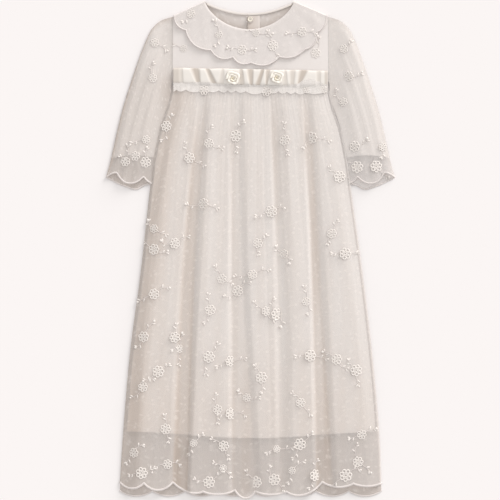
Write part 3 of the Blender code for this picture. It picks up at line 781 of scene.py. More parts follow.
class Needlework:
    """Node trees for what is sewn: corded edges, stems and stitches, and flowers."""

    def __init__(self, thread: Material, covered: Material) -> None:
        """Build both node trees.

        Args:
            thread: Material of the flowers.
            covered: Material of the covered cords.
        """
        self.thread = thread
        self.covered = covered
        self.cord_tree = self.make_cord_tree()
        self.motif_tree = self.make_motif_tree()

    def make_cord_tree(self) -> NodeTree:
        """Lay stitches side by side along lines, over a round core.

        Returns:
            The node tree.
        """
        tree, given = new_tree("sewn_cord", {
            "Pitch": ("NodeSocketFloat", 1.2 * MM), "Length": ("NodeSocketFloat", 1.5 * MM),
            "Width": ("NodeSocketFloat", 3.0 * MM), "Height": ("NodeSocketFloat", 1.4 * MM),
            "Core": ("NodeSocketFloat", 0.6 * MM), "Material": ("NodeSocketMaterial", None)})
        line = add_node(tree, "GeometryNodeMeshToCurve", None, {"Mesh": given.outputs["Geometry"]})
        level = add_node(tree, "GeometryNodeSetCurveNormal", {"mode": "Z_UP"},
                         {"Curve": line.outputs["Curve"]})
        marks = add_node(tree, "GeometryNodeCurveToPoints", {"mode": "LENGTH"},
                         {"Curve": level.outputs["Curve"], "Length": given.outputs["Pitch"]})
        bead = add_node(tree, "GeometryNodeMeshUVSphere", None, {"Segments": 6, "Rings": 4, "Radius": 0.5})
        size = add_node(tree, "ShaderNodeCombineXYZ", None,
                        {"X": given.outputs["Width"], "Y": given.outputs["Height"],
                         "Z": given.outputs["Length"]})
        stitches = add_node(tree, "GeometryNodeInstanceOnPoints", None,
                            {"Points": marks.outputs["Points"], "Instance": bead.outputs["Mesh"],
                             "Rotation": marks.outputs["Rotation"], "Scale": size.outputs["Vector"]})
        ring = add_node(tree, "GeometryNodeCurvePrimitiveCircle", None,
                        {"Resolution": 6, "Radius": given.outputs["Core"]})
        core = add_node(tree, "GeometryNodeCurveToMesh", None,
                        {"Curve": level.outputs["Curve"], "Profile Curve": ring.outputs["Curve"],
                         "Fill Caps": True})
        end_tree(tree, given, [stitches.outputs["Instances"], core.outputs["Mesh"]])
        return tree

    def add_ring(self, tree: NodeTree, given: Node, resolution: int,
                 radius: str) -> NodeSocket:
        """Add a ring of cord to the motif tree.

        Args:
            tree: The motif tree.
            given: Its input node.
            resolution: Number of points round the ring.
            radius: Name of the input that holds the ring's radius.

        Returns:
            Socket of the ring.
        """
        profile = add_node(tree, "GeometryNodeCurvePrimitiveCircle", None,
                           {"Resolution": 5, "Radius": given.outputs["Cord"]})
        line = add_node(tree, "GeometryNodeCurvePrimitiveCircle", None,
                        {"Resolution": resolution, "Radius": given.outputs[radius]})
        ring = add_node(tree, "GeometryNodeCurveToMesh", None,
                        {"Curve": line.outputs["Curve"], "Profile Curve": profile.outputs["Curve"]})
        return ring.outputs["Mesh"]

    def make_motif_tree(self) -> NodeTree:
        """Set daisies, leaves and buds on points, turned to the cloth.

        Returns:
            The node tree.
        """
        tree, given = new_tree("sewn_motifs", {
            "Petals": ("NodeSocketInt", 7), "Petal radius": ("NodeSocketFloat", 2.2 * MM),
            "Petal place": ("NodeSocketFloat", 5.5 * MM), "Eye": ("NodeSocketFloat", 1.9 * MM),
            "Cord": ("NodeSocketFloat", 0.85 * MM), "Leaf length": ("NodeSocketFloat", 7.0 * MM),
            "Material": ("NodeSocketMaterial", None)})
        spokes = add_node(tree, "GeometryNodeMeshCircle", {"fill_type": "NONE"},
                          {"Vertices": given.outputs["Petals"], "Radius": given.outputs["Petal place"]})
        petals = add_node(tree, "GeometryNodeInstanceOnPoints", None,
                          {"Points": spokes.outputs["Mesh"],
                           "Instance": self.add_ring(tree, given, 9, "Petal radius")})
        rings = add_node(tree, "GeometryNodeJoinGeometry", None,
                         {"Geometry": [petals.outputs["Instances"], self.add_ring(tree, given, 8, "Eye")]})
        daisy = add_node(tree, "GeometryNodeTransform", None,
                         {"Geometry": rings.outputs["Geometry"], "Scale": (1.08, 1.08, 0.45)})
        bead = add_node(tree, "GeometryNodeMeshUVSphere", None, {"Segments": 8, "Rings": 5, "Radius": 0.5})
        leaf_size = add_node(tree, "ShaderNodeCombineXYZ", None,
                             {"X": given.outputs["Leaf length"], "Y": 2.8 * MM, "Z": 1.3 * MM})
        leaf = add_node(tree, "GeometryNodeTransform", None,
                        {"Geometry": bead.outputs["Mesh"], "Scale": leaf_size.outputs["Vector"]})
        bud = add_node(tree, "GeometryNodeTransform", None,
                       {"Geometry": bead.outputs["Mesh"], "Scale": (4.4 * MM, 3.8 * MM, 1.8 * MM)})
        turn, scale, kind = [
            add_node(tree, "GeometryNodeInputNamedAttribute", {"data_type": data_type}, {"Name": name})
            for data_type, name in (("FLOAT_VECTOR", "turn"), ("FLOAT", "size"), ("INT", "kind"))]
        pose = add_node(tree, "FunctionNodeEulerToRotation", None, {"Euler": turn.outputs["Attribute"]})
        placed = []
        for motif, shape in ((Motif.DAISY, daisy), (Motif.LEAF, leaf), (Motif.BUD, bud)):
            chosen = add_node(tree, "FunctionNodeCompare", {"data_type": "INT", "operation": "EQUAL"},
                              {2: kind.outputs["Attribute"], 3: motif.value})
            held = add_node(tree, "GeometryNodeInstanceOnPoints", None,
                            {"Points": given.outputs["Geometry"], "Selection": chosen.outputs["Result"],
                             "Instance": shape.outputs["Geometry"], "Rotation": pose.outputs["Rotation"],
                             "Scale": scale.outputs["Attribute"]})
            placed.append(held.outputs["Instances"])
        end_tree(tree, given, placed)
        return tree

    def cord(self, name: str, lines: Sequence[Sequence[Sequence[float]]], **sizes: float) -> Object:
        """Lay sewn cords along lines.

        Args:
            name: Name of the object.
            lines: Lines of points, in metres.
            sizes: Inputs of the cord tree that differ from their defaults, in millimetres.

        Returns:
            The object.
        """
        points = [tuple(point) for line in lines for point in line]
        edges = []
        start = 0
        for line in lines:
            edges += [(start + i, start + i + 1) for i in range(len(line) - 1)]
            start += len(line)
        base = bpy.data.meshes.new(name + "_lines")
        base.from_pydata(points, edges, [])
        values = {label.capitalize(): size * MM for label, size in sizes.items()}
        return grown(name, base, self.cord_tree, {"Material": self.covered, **values})

    def motifs(self, name: str, figures: Sequence[Figure]) -> Object:
        """Sew motifs onto cloth.

        Args:
            name: Name of the object.
            figures: The motifs, in metres.

        Returns:
            The object.
        """
        base = bpy.data.meshes.new(name + "_points")
        base.from_pydata([figure.point for figure in figures], [], [])
        turns = []
        for figure in figures:
            tilt = Vector((0.0, 0.0, 1.0)).rotation_difference(figure.normal).to_matrix()
            turned = tilt @ Vector((math.cos(figure.turn), math.sin(figure.turn), 0.0))
            side = figure.normal.cross(turned)
            turns += matrix_euler(np.array((turned, side, figure.normal)).T)
        for label, kind, field, values in (("turn", "FLOAT_VECTOR", "vector", turns),
                                           ("size", "FLOAT", "value", [f.size for f in figures]),
                                           ("kind", "INT", "value", [f.kind.value for f in figures])):
            base.attributes.new(label, kind, "POINT").data.foreach_set(field, values)
        return grown(name, base, self.motif_tree, {"Material": self.thread})


def matrix_euler(rotation: Array) -> tuple[float, float, float]:
    """Return the XYZ Euler angles of a rotation matrix."""
    pitch = -math.asin(max(-1.0, min(1.0, rotation[2][0])))
    return math.atan2(rotation[2][1], rotation[2][2]), pitch, math.atan2(rotation[1][0], rotation[0][0])


@dataclass(frozen=True)
class Bodice:
    """Seam lines and heights of the yokes, which the neighbouring pieces share."""

    shoulder_y: float = 405.6
    armhole_top: Pair = (126.9, 381.5)
    armhole_foot_x: float = 127.8
    neck_centre_x: float = -1.6
    neck_half: float = 72.2
    front_drop: float = 44.5
    front_power: float = 0.72
    back_drop: float = 18.0
    waist_left_y: float = 271.4
    waist_right_y: float = 266.4
    opening_x: float = -5.7
    yoke_seat: float = 2.8
    yoke_crown: float = 2.2
    back_lift: float = 1.3
    ramp_foot_y: float = 282.0
    ramp_length: float = 40.0

    def waist_y(self, x: Array) -> Array:
        """Return the line of the high waist seam."""
        return blend(self.waist_left_y, self.waist_right_y,
                     (x + self.armhole_foot_x) / (2 * self.armhole_foot_x))

    def neck_front(self, q: Array) -> tuple[Array, Array]:
        """Return the front neck edge, for q from -1 to 1 across it."""
        depth = self.front_drop * np.clip(1.0 - q * q, 0.0, 1.0) ** self.front_power
        return self.neck_centre_x + q * self.neck_half, self.shoulder_y - depth

    def neck_back(self, q: Array) -> tuple[Array, Array]:
        """Return the back neck edge, for q from -1 to 1 across it."""
        return self.neck_centre_x + q * self.neck_half, self.shoulder_y - self.back_drop * (1.0 - q * q)

    def yoke_top(self, x: Array) -> Array:
        """Return the upper face of the front yoke."""
        crown = np.clip(1.0 - (x / self.armhole_top[0]) ** 2, 0.0, 1.0)
        return self.yoke_seat + self.yoke_crown * crown + YOKE_WALL

    def back_seat(self, y: Array) -> Array:
        """Return the height on which pieces lie inside the back yoke."""
        return self.back_lift * ease((y - self.ramp_foot_y) / self.ramp_length) + YOKE_WALL + GAP

    def neck_y(self, x: Array, front: bool) -> Array:
        """Return Y of the front or the back neck edge, at places across."""
        neck = self.neck_front if front else self.neck_back
        return neck((x - self.neck_centre_x) / self.neck_half)[1]

    def rows(self, shares: Array, steps: int, front: bool) -> tuple[Array, Array]:
        """Lay a yoke's points out from its upper edge to the waist seam.

        Args:
            shares: Places across, -1 at the left armhole to 1 at the right one.
            steps: Number of rows.
            front: Whether the neck is the front one.

        Returns:
            X and Y of each row and column.
        """
        neck = self.neck_front if front else self.neck_back
        neck_share = self.neck_half / self.armhole_top[0]
        top_x, top_y = neck(np.clip(shares / neck_share, -1.0, 1.0))
        beyond = np.clip((np.abs(shares) - neck_share) / (1.0 - neck_share), 0.0, 1.0)
        top_x = np.where(beyond > 0.0, blend(top_x, np.sign(shares) * self.armhole_top[0], beyond), top_x)
        top_y = np.where(beyond > 0.0, blend(top_y, self.armhole_top[1], beyond), top_y)
        down = np.linspace(0.0, 1.0, steps)[:, None]
        foot_x = shares * self.armhole_foot_x
        return blend(top_x, foot_x, down), blend(top_y, self.waist_y(foot_x), down)


@dataclass(frozen=True)
class SkirtForm:
    """Outline, long folds and gathers of the skirt."""

    bodice: Bodice
    sides: tuple[Side, ...] = (
        Side(271.0, -127.6, 127.6), Side(238.0, -135.6, 135.6), Side(199.0, -148.4, 148.4),
        Side(150.0, -158.6, 158.6), Side(107.0, -164.0, 164.6), Side(90.0, -166.2, 167.0),
        Side(-40.0, -180.6, 184.9), Side(-166.0, -197.4, 199.8), Side(-301.0, -209.2, 211.6),
        Side(-385.0, -214.8, 215.2),
    )
    folds: tuple[Fold, ...] = (
        Fold(-127.0, -181.0, -215.0, 0.4, 1.2, 0.3), Fold(-112.0, -163.0, -180.0, 2.6, 4.4, 4.8),
        Fold(-88.0, -118.0, -136.0, 1.4, 3.0, 3.4), Fold(-83.0, -107.0, -122.0, 0.4, 0.1, 0.0),
        Fold(-77.0, -95.0, -106.0, 0.4, 0.1, 0.0), Fold(-64.0, -80.0, -97.0, 3.0, 5.8, 5.2),
        Fold(-38.0, -38.0, -38.0, 1.6, 4.2, 4.0), Fold(-31.0, -29.0, -28.0, 0.8, 1.6, 1.2),
        Fold(-22.0, -16.0, 6.0, 0.9, 1.7, 1.4), Fold(-8.0, -1.0, 20.0, 2.8, 5.2, 4.2),
        Fold(28.0, 36.0, 40.0, 1.6, 3.6, 3.2), Fold(34.0, 45.0, 50.0, 0.8, 1.5, 1.8),
        Fold(56.0, 70.0, 72.0, 2.6, 5.0, 4.2), Fold(82.0, 94.0, 102.0, 1.6, 3.6, 3.4),
        Fold(88.0, 102.0, 112.0, 0.6, 0.5, 0.2), Fold(92.0, 108.0, 130.0, 0.6, 0.5, 0.2),
        Fold(104.0, 126.0, 144.0, 2.4, 4.0, 3.8), Fold(126.0, 181.0, 206.0, 1.0, 2.8, 2.4),
    )
    fold_keys: tuple[float, float, float] = (-245.0, 26.0, 380.0)
    scallops: tuple[Scallop, ...] = (
        Scallop(-214.8, -380.5, 10.7), Scallop(-174.6, -381.4, 13.2), Scallop(-127.7, -380.5, 9.0),
        Scallop(-77.8, -395.7, 6.5), Scallop(-25.3, -393.7, 13.2), Scallop(7.5, -395.7, 5.7),
        Scallop(59.9, -396.1, 13.2), Scallop(117.2, -380.5, 7.4), Scallop(168.2, -383.0, 5.0),
        Scallop(215.2, -383.0, 0.0),
    )
    scallop_power: float = 0.7
    hem_edge_y: float = -382.0
    hem_belly: float = 12.0
    edge_roll: float = 4.0
    edge_slope: float = 26.0
    edge_z: float = 1.3
    armpit_lift: float = 2.0
    seam_fade: float = 40.0
    seam_press: float = 0.3
    net_mid: float = 5.1
    lining_mid: float = 3.1
    lining_share: float = 0.8
    hem_settle: float = 0.4
    lining_hem: float = 0.878
    back_hem_y: float = -396.0
    back_scallops: int = 8
    back_drop: float = 9.0
    back_gathers: Pleats = Pleats(0.25, 40, 0.08, 0.3, 71)
    coarse: Pleats = Pleats(0.42, 40, 0.06, 0.36, 11)
    fine: Pleats = Pleats(0.2, 86, 0.08, 0.6, 23)
    creases: Pleats = Pleats(0.55, 19, 0.5, 2.6, 41)
    hair: Pleats = Pleats(0.1, 47, 0.5, 3.0, 37)
    sway: float = 0.35
    armpit_y: float = 90.0
    armpit_run: float = 60.0
    scallop_start: float = 0.93
    scallop_run: float = 0.07

    def edges(self, y: Array) -> tuple[Array, Array]:
        """Return the left and the right edge at a height."""
        keys = [-side.y for side in self.sides]
        return (flowing(keys, [side.left for side in self.sides], -y),
                flowing(keys, [side.right for side in self.sides], -y))

    def hem_y(self, x: Array) -> Array:
        """Follow the scalloped hem line.

        Args:
            x: Places across, in millimetres.

        Returns:
            Y of the hem.
        """
        result = np.full(np.shape(x), self.scallops[-1].y)
        for cusp, following in zip(self.scallops, self.scallops[1:]):
            share = np.clip((x - cusp.x) / (following.x - cusp.x), 0.0, 1.0)
            line = blend(cusp.y, following.y, share) - cusp.drop * np.sin(np.pi * share) ** self.scallop_power
            result = np.where((x >= cusp.x) & (x <= following.x), line, result)
        return result

    def plan(self, u: Array, v: Array, scalloped: bool = True) -> tuple[Array, Array]:
        """Lay skirt points out in plan.

        Args:
            u: Share across, 0 at the left edge to 1 at the right one.
            v: Share down, 0 at the waist to 1 at the hem.
            scalloped: Whether the last rows follow the hem's scallops.

        Returns:
            X and Y of each point.
        """
        left, right = self.edges(blend(self.bodice.waist_left_y, self.hem_edge_y, v))
        x = blend(left, right, u)
        bottom = self.hem_edge_y - self.hem_belly * np.sin(np.pi * u) ** 2
        if scalloped:
            bottom = blend(bottom, self.hem_y(x), ease((v - self.scallop_start) / self.scallop_run))
        return x, blend(self.bodice.waist_y(x) - GAP, bottom, v)

    def rise(self, x: Array, y: Array) -> Array:
        """Follow the long folds.

        Args:
            x: Places across, in millimetres.
            y: Heights, in millimetres.

        Returns:
            Rise above the folds' valleys.
        """
        places = [flowing(self.fold_keys, fold[:3], -y) for fold in self.folds]
        heights = [flowing(self.fold_keys, fold[3:], -y) for fold in self.folds]
        pressed = blend(self.seam_press, 1.0, ease((self.bodice.waist_y(x) - y) / self.seam_fade))
        return stepped(places, heights, x) * pressed

    def gathers(self, u: Array, v: Array) -> Array:
        """Make the small gathers under the waist seam, and the hairline pleats below them.

        Args:
            u: Share across.
            v: Share down.

        Returns:
            Their height.
        """
        swung = u + 0.006 * np.sin(7.0 * v + 9.0 * u)
        below_seam = ease(v / 0.2)
        return (ripple(u, v, self.coarse) + ripple(u, v, self.fine)
                + ripple(swung, v, self.creases) * below_seam + ripple(swung, v, self.hair))


@dataclass(frozen=True)
class FrontShade:
    """Painted shade on the skirt's front: folds, streaks, left side, towards the bottom, sheer hem."""

    inland: float = 14.0
    crest_rise: float = 2.4
    waist_run: float = 110.0
    fold_shade_lined: float = 0.4
    fold_shade_sheer: float = 0.9
    least_streak: float = 0.6
    streak: float = 0.08
    streak_stretch: Pair = (3.4, 0.8)
    sheer_y: float = -304.0
    sheer_run: float = 8.0
    sheer: float = 0.12
    edge: float = 0.34
    edge_start: float = 12.0
    edge_run: float = 34.0
    left: float = 0.12
    left_x: float = -190.0
    left_run: float = 170.0
    low: float = 0.14
    low_y: float = -300.0
    low_run: float = 200.0

    def depth(self, form: SkirtForm, points: Array) -> Array:
        """Work out the painted shade of the front.

        Args:
            form: Form of the skirt.
            points: Points of the front, in millimetres.

        Returns:
            How much painted shade each point takes, from 0.
        """
        x, y = points[..., 0], points[..., 1]
        left, right = form.edges(y)
        inland = (ease((x - left - self.inland) / self.inland)
                  * ease((right - x - self.inland) / self.inland))
        # Painted shade in the valleys of the long folds, fading out towards the waist.
        deep = 1.0 - ease(form.rise(x, y) / self.crest_rise)
        below = ease((form.bodice.waist_y(x) - y) / self.waist_run)
        stretch_x, stretch_y = self.streak_stretch
        # Painted shade streaks, uneven, in and between the folds.
        shade_streaks = ease(0.5 + 1.4 * drift(x * stretch_x, y * stretch_y, 91))
        # Painted shade on the sheer hem, where the floor under the net lies in shadow.
        sheer = ease((self.sheer_y - y) / self.sheer_run)
        fold = blend(self.fold_shade_lined, self.fold_shade_sheer, sheer) * deep * below
        folds = inland * (fold * blend(self.least_streak, 1.0, shade_streaks) + self.streak * shade_streaks)
        # Painted shade along the left edge and over the left side, away from the light, and darker towards
        # the bottom.
        edge = self.edge * (1.0 - ease((x - left - self.edge_start) / self.edge_run))
        left_side_shade = self.left * (1.0 - ease((x - self.left_x) / self.left_run))
        low = self.low * (1.0 - ease((y - self.low_y) / self.low_run)) * (1.0 - sheer)
        return folds + edge + left_side_shade + low + self.sheer * sheer


@dataclass
class Skirt:
    """Front and back of the embroidered skirt, the two linings and the corded hems."""

    form: SkirtForm
    shading: FrontShade = FrontShade()
    columns: int = 340
    lining_columns: int = 180
    back_columns: int = 220
    rows_top: int = 56
    rows_body: int = 100
    rows_hem: int = 44
    top_stop: float = 0.14
    hem_start: float = 0.88
    back_z: float = 0.7
    back_shade: float = 0.7
    back_lining_z: float = 1.9
    back_lining_sway: float = 0.15
    lining_gap: float = 0.5
    lining_gathers: float = 0.4
    lining_shade: float = 0.8
    inset: float = 0.014

    def grid(self, columns: int, stop: float = 1.0) -> tuple[Array, Array]:
        """Lay out a panel's rows and columns, closer at the waist and the hem.

        Args:
            columns: Number of columns.
            stop: Share down at which the panel ends.

        Returns:
            Share across and share down of each point.
        """
        v = np.concatenate((np.linspace(0.0, self.top_stop, self.rows_top),
                            np.linspace(self.top_stop, self.hem_start, self.rows_body)[1:],
                            np.linspace(self.hem_start, 1.0, self.rows_hem)[1:]))
        v = v[v <= stop + 1e-6]
        return np.meshgrid(np.linspace(0.0, 1.0, columns), v)

    def front_points(self, u: Array, v: Array) -> Array:
        """Lay the front net out.

        Args:
            u: Share across.
            v: Share down.

        Returns:
            Its points, in millimetres.
        """
        form = self.form
        x, y = form.plan(u, v)
        left, right = form.edges(y)
        settle = form.hem_settle * ease((v - form.lining_hem) / (1.0 - form.lining_hem))
        z = form.net_mid + form.rise(x, y) + form.gathers(u, v) + form.sway * drift(x, y, 5) - settle
        edge_z = form.edge_z + form.armpit_lift * ease((y - form.armpit_y) / form.armpit_run)
        z = blend(edge_z, z, brim(np.minimum(x - left, right - x), form.edge_roll, form.edge_slope))
        return xyz(x, y, z)

    def build(self, net: Material, lining: Material, needle: Needlework) -> Surface:
        """Make the four panels and the corded hems.

        Args:
            net: Material of the net.
            lining: Material of the lining.
            needle: Node trees for the cords.

        Returns:
            The front net, for what is sewn on it.
        """
        points = self.front_points(*self.grid(self.columns))
        # Painted shade of the front net: folds, streaks, left side, towards the bottom, sheer hem.
        shade = self.shading.depth(self.form, points)
        front = grid_object("skirt_front_net", points, net, shade=shade)
        seated(front, ["skirt_front"])
        self.build_linings(lining)
        back_hem = self.build_back(net)
        self.cord_hem("skirt_front_corded_hem", points[-1], 4.2, needle)
        self.cord_hem("skirt_back_corded_hem", back_hem, 3.0, needle)
        return Surface(front)

    def build_linings(self, lining: Material) -> None:
        """Make the front and the back lining.

        Args:
            lining: Material of the lining.
        """
        form = self.form
        u, v = self.grid(self.lining_columns, form.lining_hem)
        x, y = form.plan(blend(self.inset, 1.0 - self.inset, u), v, scalloped=False)
        left, right = form.edges(y)
        z = form.lining_mid + form.lining_share * form.rise(x, y) + self.lining_gathers * form.gathers(u, v)
        z = blend(self.back_lining_z + self.lining_gap, z,
                  brim(np.minimum(x - left, right - x), form.edge_roll, form.edge_slope))
        points = xyz(x, y, z)
        # Painted shade: the lining takes a share of the front's painted shade.
        shade = self.lining_shade * self.shading.depth(form, points)
        front = grid_object("skirt_front_lining", points, lining, shade=shade)
        seated(front, ["lining_front"])

        z = self.back_lining_z + self.back_lining_sway * drift(x, y, 8)
        back = grid_object("skirt_back_lining", xyz(x, y, z), lining)
        seated(back, ["lining_back"])

    def build_back(self, net: Material) -> Array:
        """Make the back of the skirt.

        Args:
            net: Material of the net.

        Returns:
            Points of its hem, just above the ground.
        """
        form = self.form
        u, v = self.grid(self.back_columns)
        x, y = form.plan(u, v, scalloped=False)
        lobes = np.abs(np.sin(np.pi * form.back_scallops * u)) ** form.scallop_power
        hem = form.back_hem_y - form.back_drop * lobes
        y = y + (hem - y[-1:]) * ease((v - form.scallop_start) / form.scallop_run)
        points = np.stack((x, y, self.back_z - ripple(u, v, form.back_gathers)), axis=-1)
        # Painted shade: the whole back net is darkened, so the sheer hem looks shaded over the floor.
        shade = np.full_like(x, self.back_shade)
        back = grid_object("skirt_back_net", points, net, turned=True, shade=shade)
        seated(back, ["skirt_back"])
        return np.maximum(points[-1], (-np.inf, -np.inf, 0.8))

    def cord_hem(self, name: str, hem: Array, width: float, needle: Needlework) -> None:
        """Cord one hem, given by its points in millimetres."""
        cord = needle.cord(name, [(hem * MM).tolist()], width=width, height=1.4, core=0.6)
        seated(cord)


def ring_points(centre: Pair, radius: float, z: float, count: int) -> Array:
    """Return points round a level circle, in millimetres."""
    turns = np.linspace(0.0, 2.0 * np.pi, count, endpoint=False)
    return np.stack((centre[0] + radius * np.cos(turns), centre[1] + radius * np.sin(turns),
                     np.full(count, z)), axis=-1)


@dataclass
class Yokes:
    """Front yoke, both halves of the back yoke, and what fastens them."""

    bodice: Bodice
    columns: int = 150
    rows: int = 80
    placket_width: float = 20.5
    placket_stop: float = 6.0
    binding_width: float = 3.4
    binding_rise: float = 1.1
    button_at: Pair = (-0.4, 377.6)
    button_radius: float = 4.4
    button_thick: float = 1.7
    hole_radius: float = 0.55
    hole_reach: float = 1.25
    loop_reach: float = 5.4
    loop_turn: float = 135.0
    loop_tail: float = 2.5
    button_profile: tuple[Pair, ...] = (
        (0.0, 0.0), (0.8, 0.0), (0.97, 0.3), (1.0, 0.55), (0.95, 0.85), (0.86, 1.0),
        (0.74, 0.95), (0.62, 0.74), (0.4, 0.68), (0.0, 0.68),
    )
    sway: float = 0.35
    still_run: float = 12.0
    # Painted shadow inside the neck, and painted shade on the placket.
    neck_shadow: float = 16.0
    back_shade: Pair = (0.6, 1.0)
    placket_lift: float = 0.45
    placket_roll: float = 1.2
    placket_shade: Pair = (0.9, 0.35)
    binding_spans: tuple[tuple[str, float, float], ...] = (("left", -0.96, -0.062), ("right", -0.047, 0.96))

    def build(self, cloth: Material, lining: Material, satin: Material,
              resin: Material, needle: Needlework) -> Surface:
        """Make the yokes and the fastening.

        Args:
            cloth: Material of the lined net.
            lining: Material of the placket, a lawn painted darker as shade.
            satin: Material of the neck binding.
            resin: Material of the button.
            needle: Node trees for the threads.

        Returns:
            The front yoke, for what is sewn on it.
        """
        bodice = self.bodice
        shares = np.linspace(-1.0, 1.0, self.columns)
        x, y = bodice.rows(shares, self.rows, front=True)
        still = ease((bodice.armhole_foot_x - np.abs(x)) / self.still_run)
        z = bodice.yoke_top(x) - 0.5 * YOKE_WALL + self.sway * drift(x * 1.6, y * 2.0, 31) * still
        front = grid_object("yoke_front_lined_net", xyz(x, y, z), cloth, shade=0.0 * x)
        seated(front, ["yoke_front"])
        self.build_back(cloth)
        self.build_placket(lining)
        for side, start, stop in self.binding_spans:
            self.build_binding(side, start, stop, satin)
        seat = float(bodice.back_seat(np.array(self.button_at[1]))) + 0.9 + GAP
        self.build_button(seat, resin, needle)
        self.build_loop(seat, needle)
        return Surface(front)

    def build_back(self, cloth: Material) -> None:
        """Make both halves of the back yoke.

        Args:
            cloth: Material of the lined net.
        """
        bodice = self.bodice
        split = (bodice.opening_x - bodice.neck_centre_x) / bodice.armhole_top[0]
        half_gap = 0.5 * GAP / bodice.armhole_top[0]
        for side, start, stop in (("left", -1.0, split - half_gap), ("right", split + half_gap, 1.0)):
            shares = np.linspace(start, stop, self.columns // 2)
            x, y = bodice.rows(shares, self.rows, front=False)
            z = bodice.back_seat(y) - GAP - 0.5 * YOKE_WALL
            # Painted shadow: the back yoke inside the neck is dark, darkest under the front neck edge and
            # towards the right.
            near = ease(1.0 - (y - bodice.neck_y(x, front=True)) / self.neck_shadow)
            shade = blend(*self.back_shade, np.clip(near + 0.7 * ease(x / 50.0), 0.0, 1.0))
            piece = grid_object(f"yoke_back_{side}_lined_net", xyz(x, y, z), cloth, shade=shade)
            seated(piece, ["yoke_back_" + side])

    def build_placket(self, lining: Material) -> None:
        """Make the strip along the back opening.

        Args:
            lining: Material of the strip, a lawn painted darker as shade.
        """
        bodice = self.bodice
        across, down = np.meshgrid(np.linspace(0.0, 1.0, 12), np.linspace(0.0, 1.0, 50))
        x = bodice.opening_x + 2 * GAP + self.placket_width * across
        top = bodice.neck_y(x, front=False) - self.binding_width - 3 * GAP
        y = blend(top, bodice.waist_y(x) + self.placket_stop, down)
        edge = np.minimum(across, 1.0 - across) * self.placket_width
        z = bodice.back_seat(y) + self.placket_lift * rounded(edge, self.placket_roll)
        # Painted shade: the placket is darker at its left edge by the opening and paler to the right.
        shade = blend(*self.placket_shade, across)
        placket = grid_object("placket_strip", xyz(x, y, z), lining, shade=shade)
        seated(placket, ["placket"])

    def build_binding(self, side: str, start: float, stop: float, satin: Material) -> None:
        """Fold one binding over the back neck edge.

        Args:
            side: Left or right.
            start: Where it begins, -1 to 1 across the neck.
            stop: Where it ends.
            satin: Material of the binding.
        """
        bodice = self.bodice
        q, turn = np.meshgrid(np.linspace(start, stop, 60), np.linspace(0.02, 1.98, 22))
        x, y = bodice.neck_back(q)
        swing = np.pi * turn
        y = y - self.binding_width * (0.5 + 0.5 * np.cos(swing))
        leaf = np.sign(np.sin(swing)) * np.abs(np.sin(swing)) ** 0.4
        z = bodice.back_seat(y) + 0.5 * self.binding_rise * (1.0 - leaf)
        binding = grid_object(f"neck_binding_{side}_folded", xyz(x, y, z), satin)
        seated(binding, ["neck_binding_" + side])

    def build_loop(self, seat: float, needle: Needlework) -> None:
        """Lay the thread loop round the button.

        Args:
            seat: Height of the button's underside.
            needle: Node trees for the thread.
        """
        path = []
        for angle in np.radians(np.linspace(self.loop_turn, -self.loop_turn, 30)):
            tail = self.loop_tail * float(ease(abs(angle) - 1.5))
            path.append(((self.button_at[0] + self.loop_reach * math.cos(angle) - tail) * MM,
                         (self.button_at[1] + self.loop_reach * math.sin(angle)) * MM, (seat + 0.6) * MM))
        loop = needle.cord("button_loop_thread", [path], pitch=0.9, length=1.3, width=1.1, height=1.1,
                           core=0.4)
        seated(loop, ["button_loop"])

    def build_button(self, seat: float, resin: Material, needle: Needlework) -> None:
        """Make the dished button with four sewn holes.

        Args:
            seat: Height of its underside.
            resin: Material of the button.
            needle: Node trees for the stitches.
        """
        rings = [ring_points(self.button_at, max(radius, 0.002) * self.button_radius,
                             seat + height * self.button_thick, 40) for radius, height in self.button_profile]
        button = grid_object("button_resin", np.array(rings), resin, ring=True)
        holes = [(self.button_at[0] + self.hole_reach * math.cos(turn),
                  self.button_at[1] + self.hole_reach * math.sin(turn))
                 for turn in np.radians([45.0, 135.0, 225.0, 315.0])]
        cutter = self.hole_cutter(holes, seat)
        weld = button.modifiers.new("weld", "WELD")
        weld.merge_threshold = 0.02 * MM
        cut = button.modifiers.new("cut", "BOOLEAN")
        cut.operation = "DIFFERENCE"
        cut.object = cutter
        evaluated = button.evaluated_get(bpy.context.evaluated_depsgraph_get())
        mesh = bpy.data.meshes.new_from_object(evaluated)
        button.modifiers.clear()
        button.data = mesh
        bpy.data.objects.remove(cutter, do_unlink=True)
        mesh.set_sharp_from_angle(angle=math.radians(40.0))
        seated(button, ["button"])
        dish = seat + self.button_profile[-1][1] * self.button_thick
        strands = []
        for first, second in ((holes[0], holes[2]), (holes[1], holes[3])):
            strands.append([(blend(first[0], second[0], share) * MM, blend(first[1], second[1], share) * MM,
                             (dish - 0.6 + math.sin(math.pi * share)) * MM)
                            for share in np.linspace(0.0, 1.0, 9)])
        stitches = needle.cord("button_stitches", strands, pitch=0.6, length=0.9, width=0.6, height=0.6,
                               core=0.25)
        seated(stitches)

    def hole_cutter(self, holes: Sequence[Pair], seat: float) -> Object:
        """Make pins that cut the button's holes.

        Args:
            holes: Places of the holes, in millimetres.
            seat: Height of the button's underside.

        Returns:
            The pins, as one object.
        """
        sides = 12
        points = []
        faces = []
        for hole in holes:
            first = len(points)
            for z in (seat - 1.0, seat + 2.0 * self.button_thick):
                points += (ring_points(hole, self.hole_radius, z, sides) * MM).tolist()
            faces += [[first + i, first + (i + 1) % sides, first + sides + (i + 1) % sides, first + sides + i]
                      for i in range(sides)]
            faces += [[first + i for i in reversed(range(sides))], [first + sides + i for i in range(sides)]]
        mesh = bpy.data.meshes.new("button_holes")
        mesh.from_pydata(points, [], faces)
        return linked("button_holes", mesh)


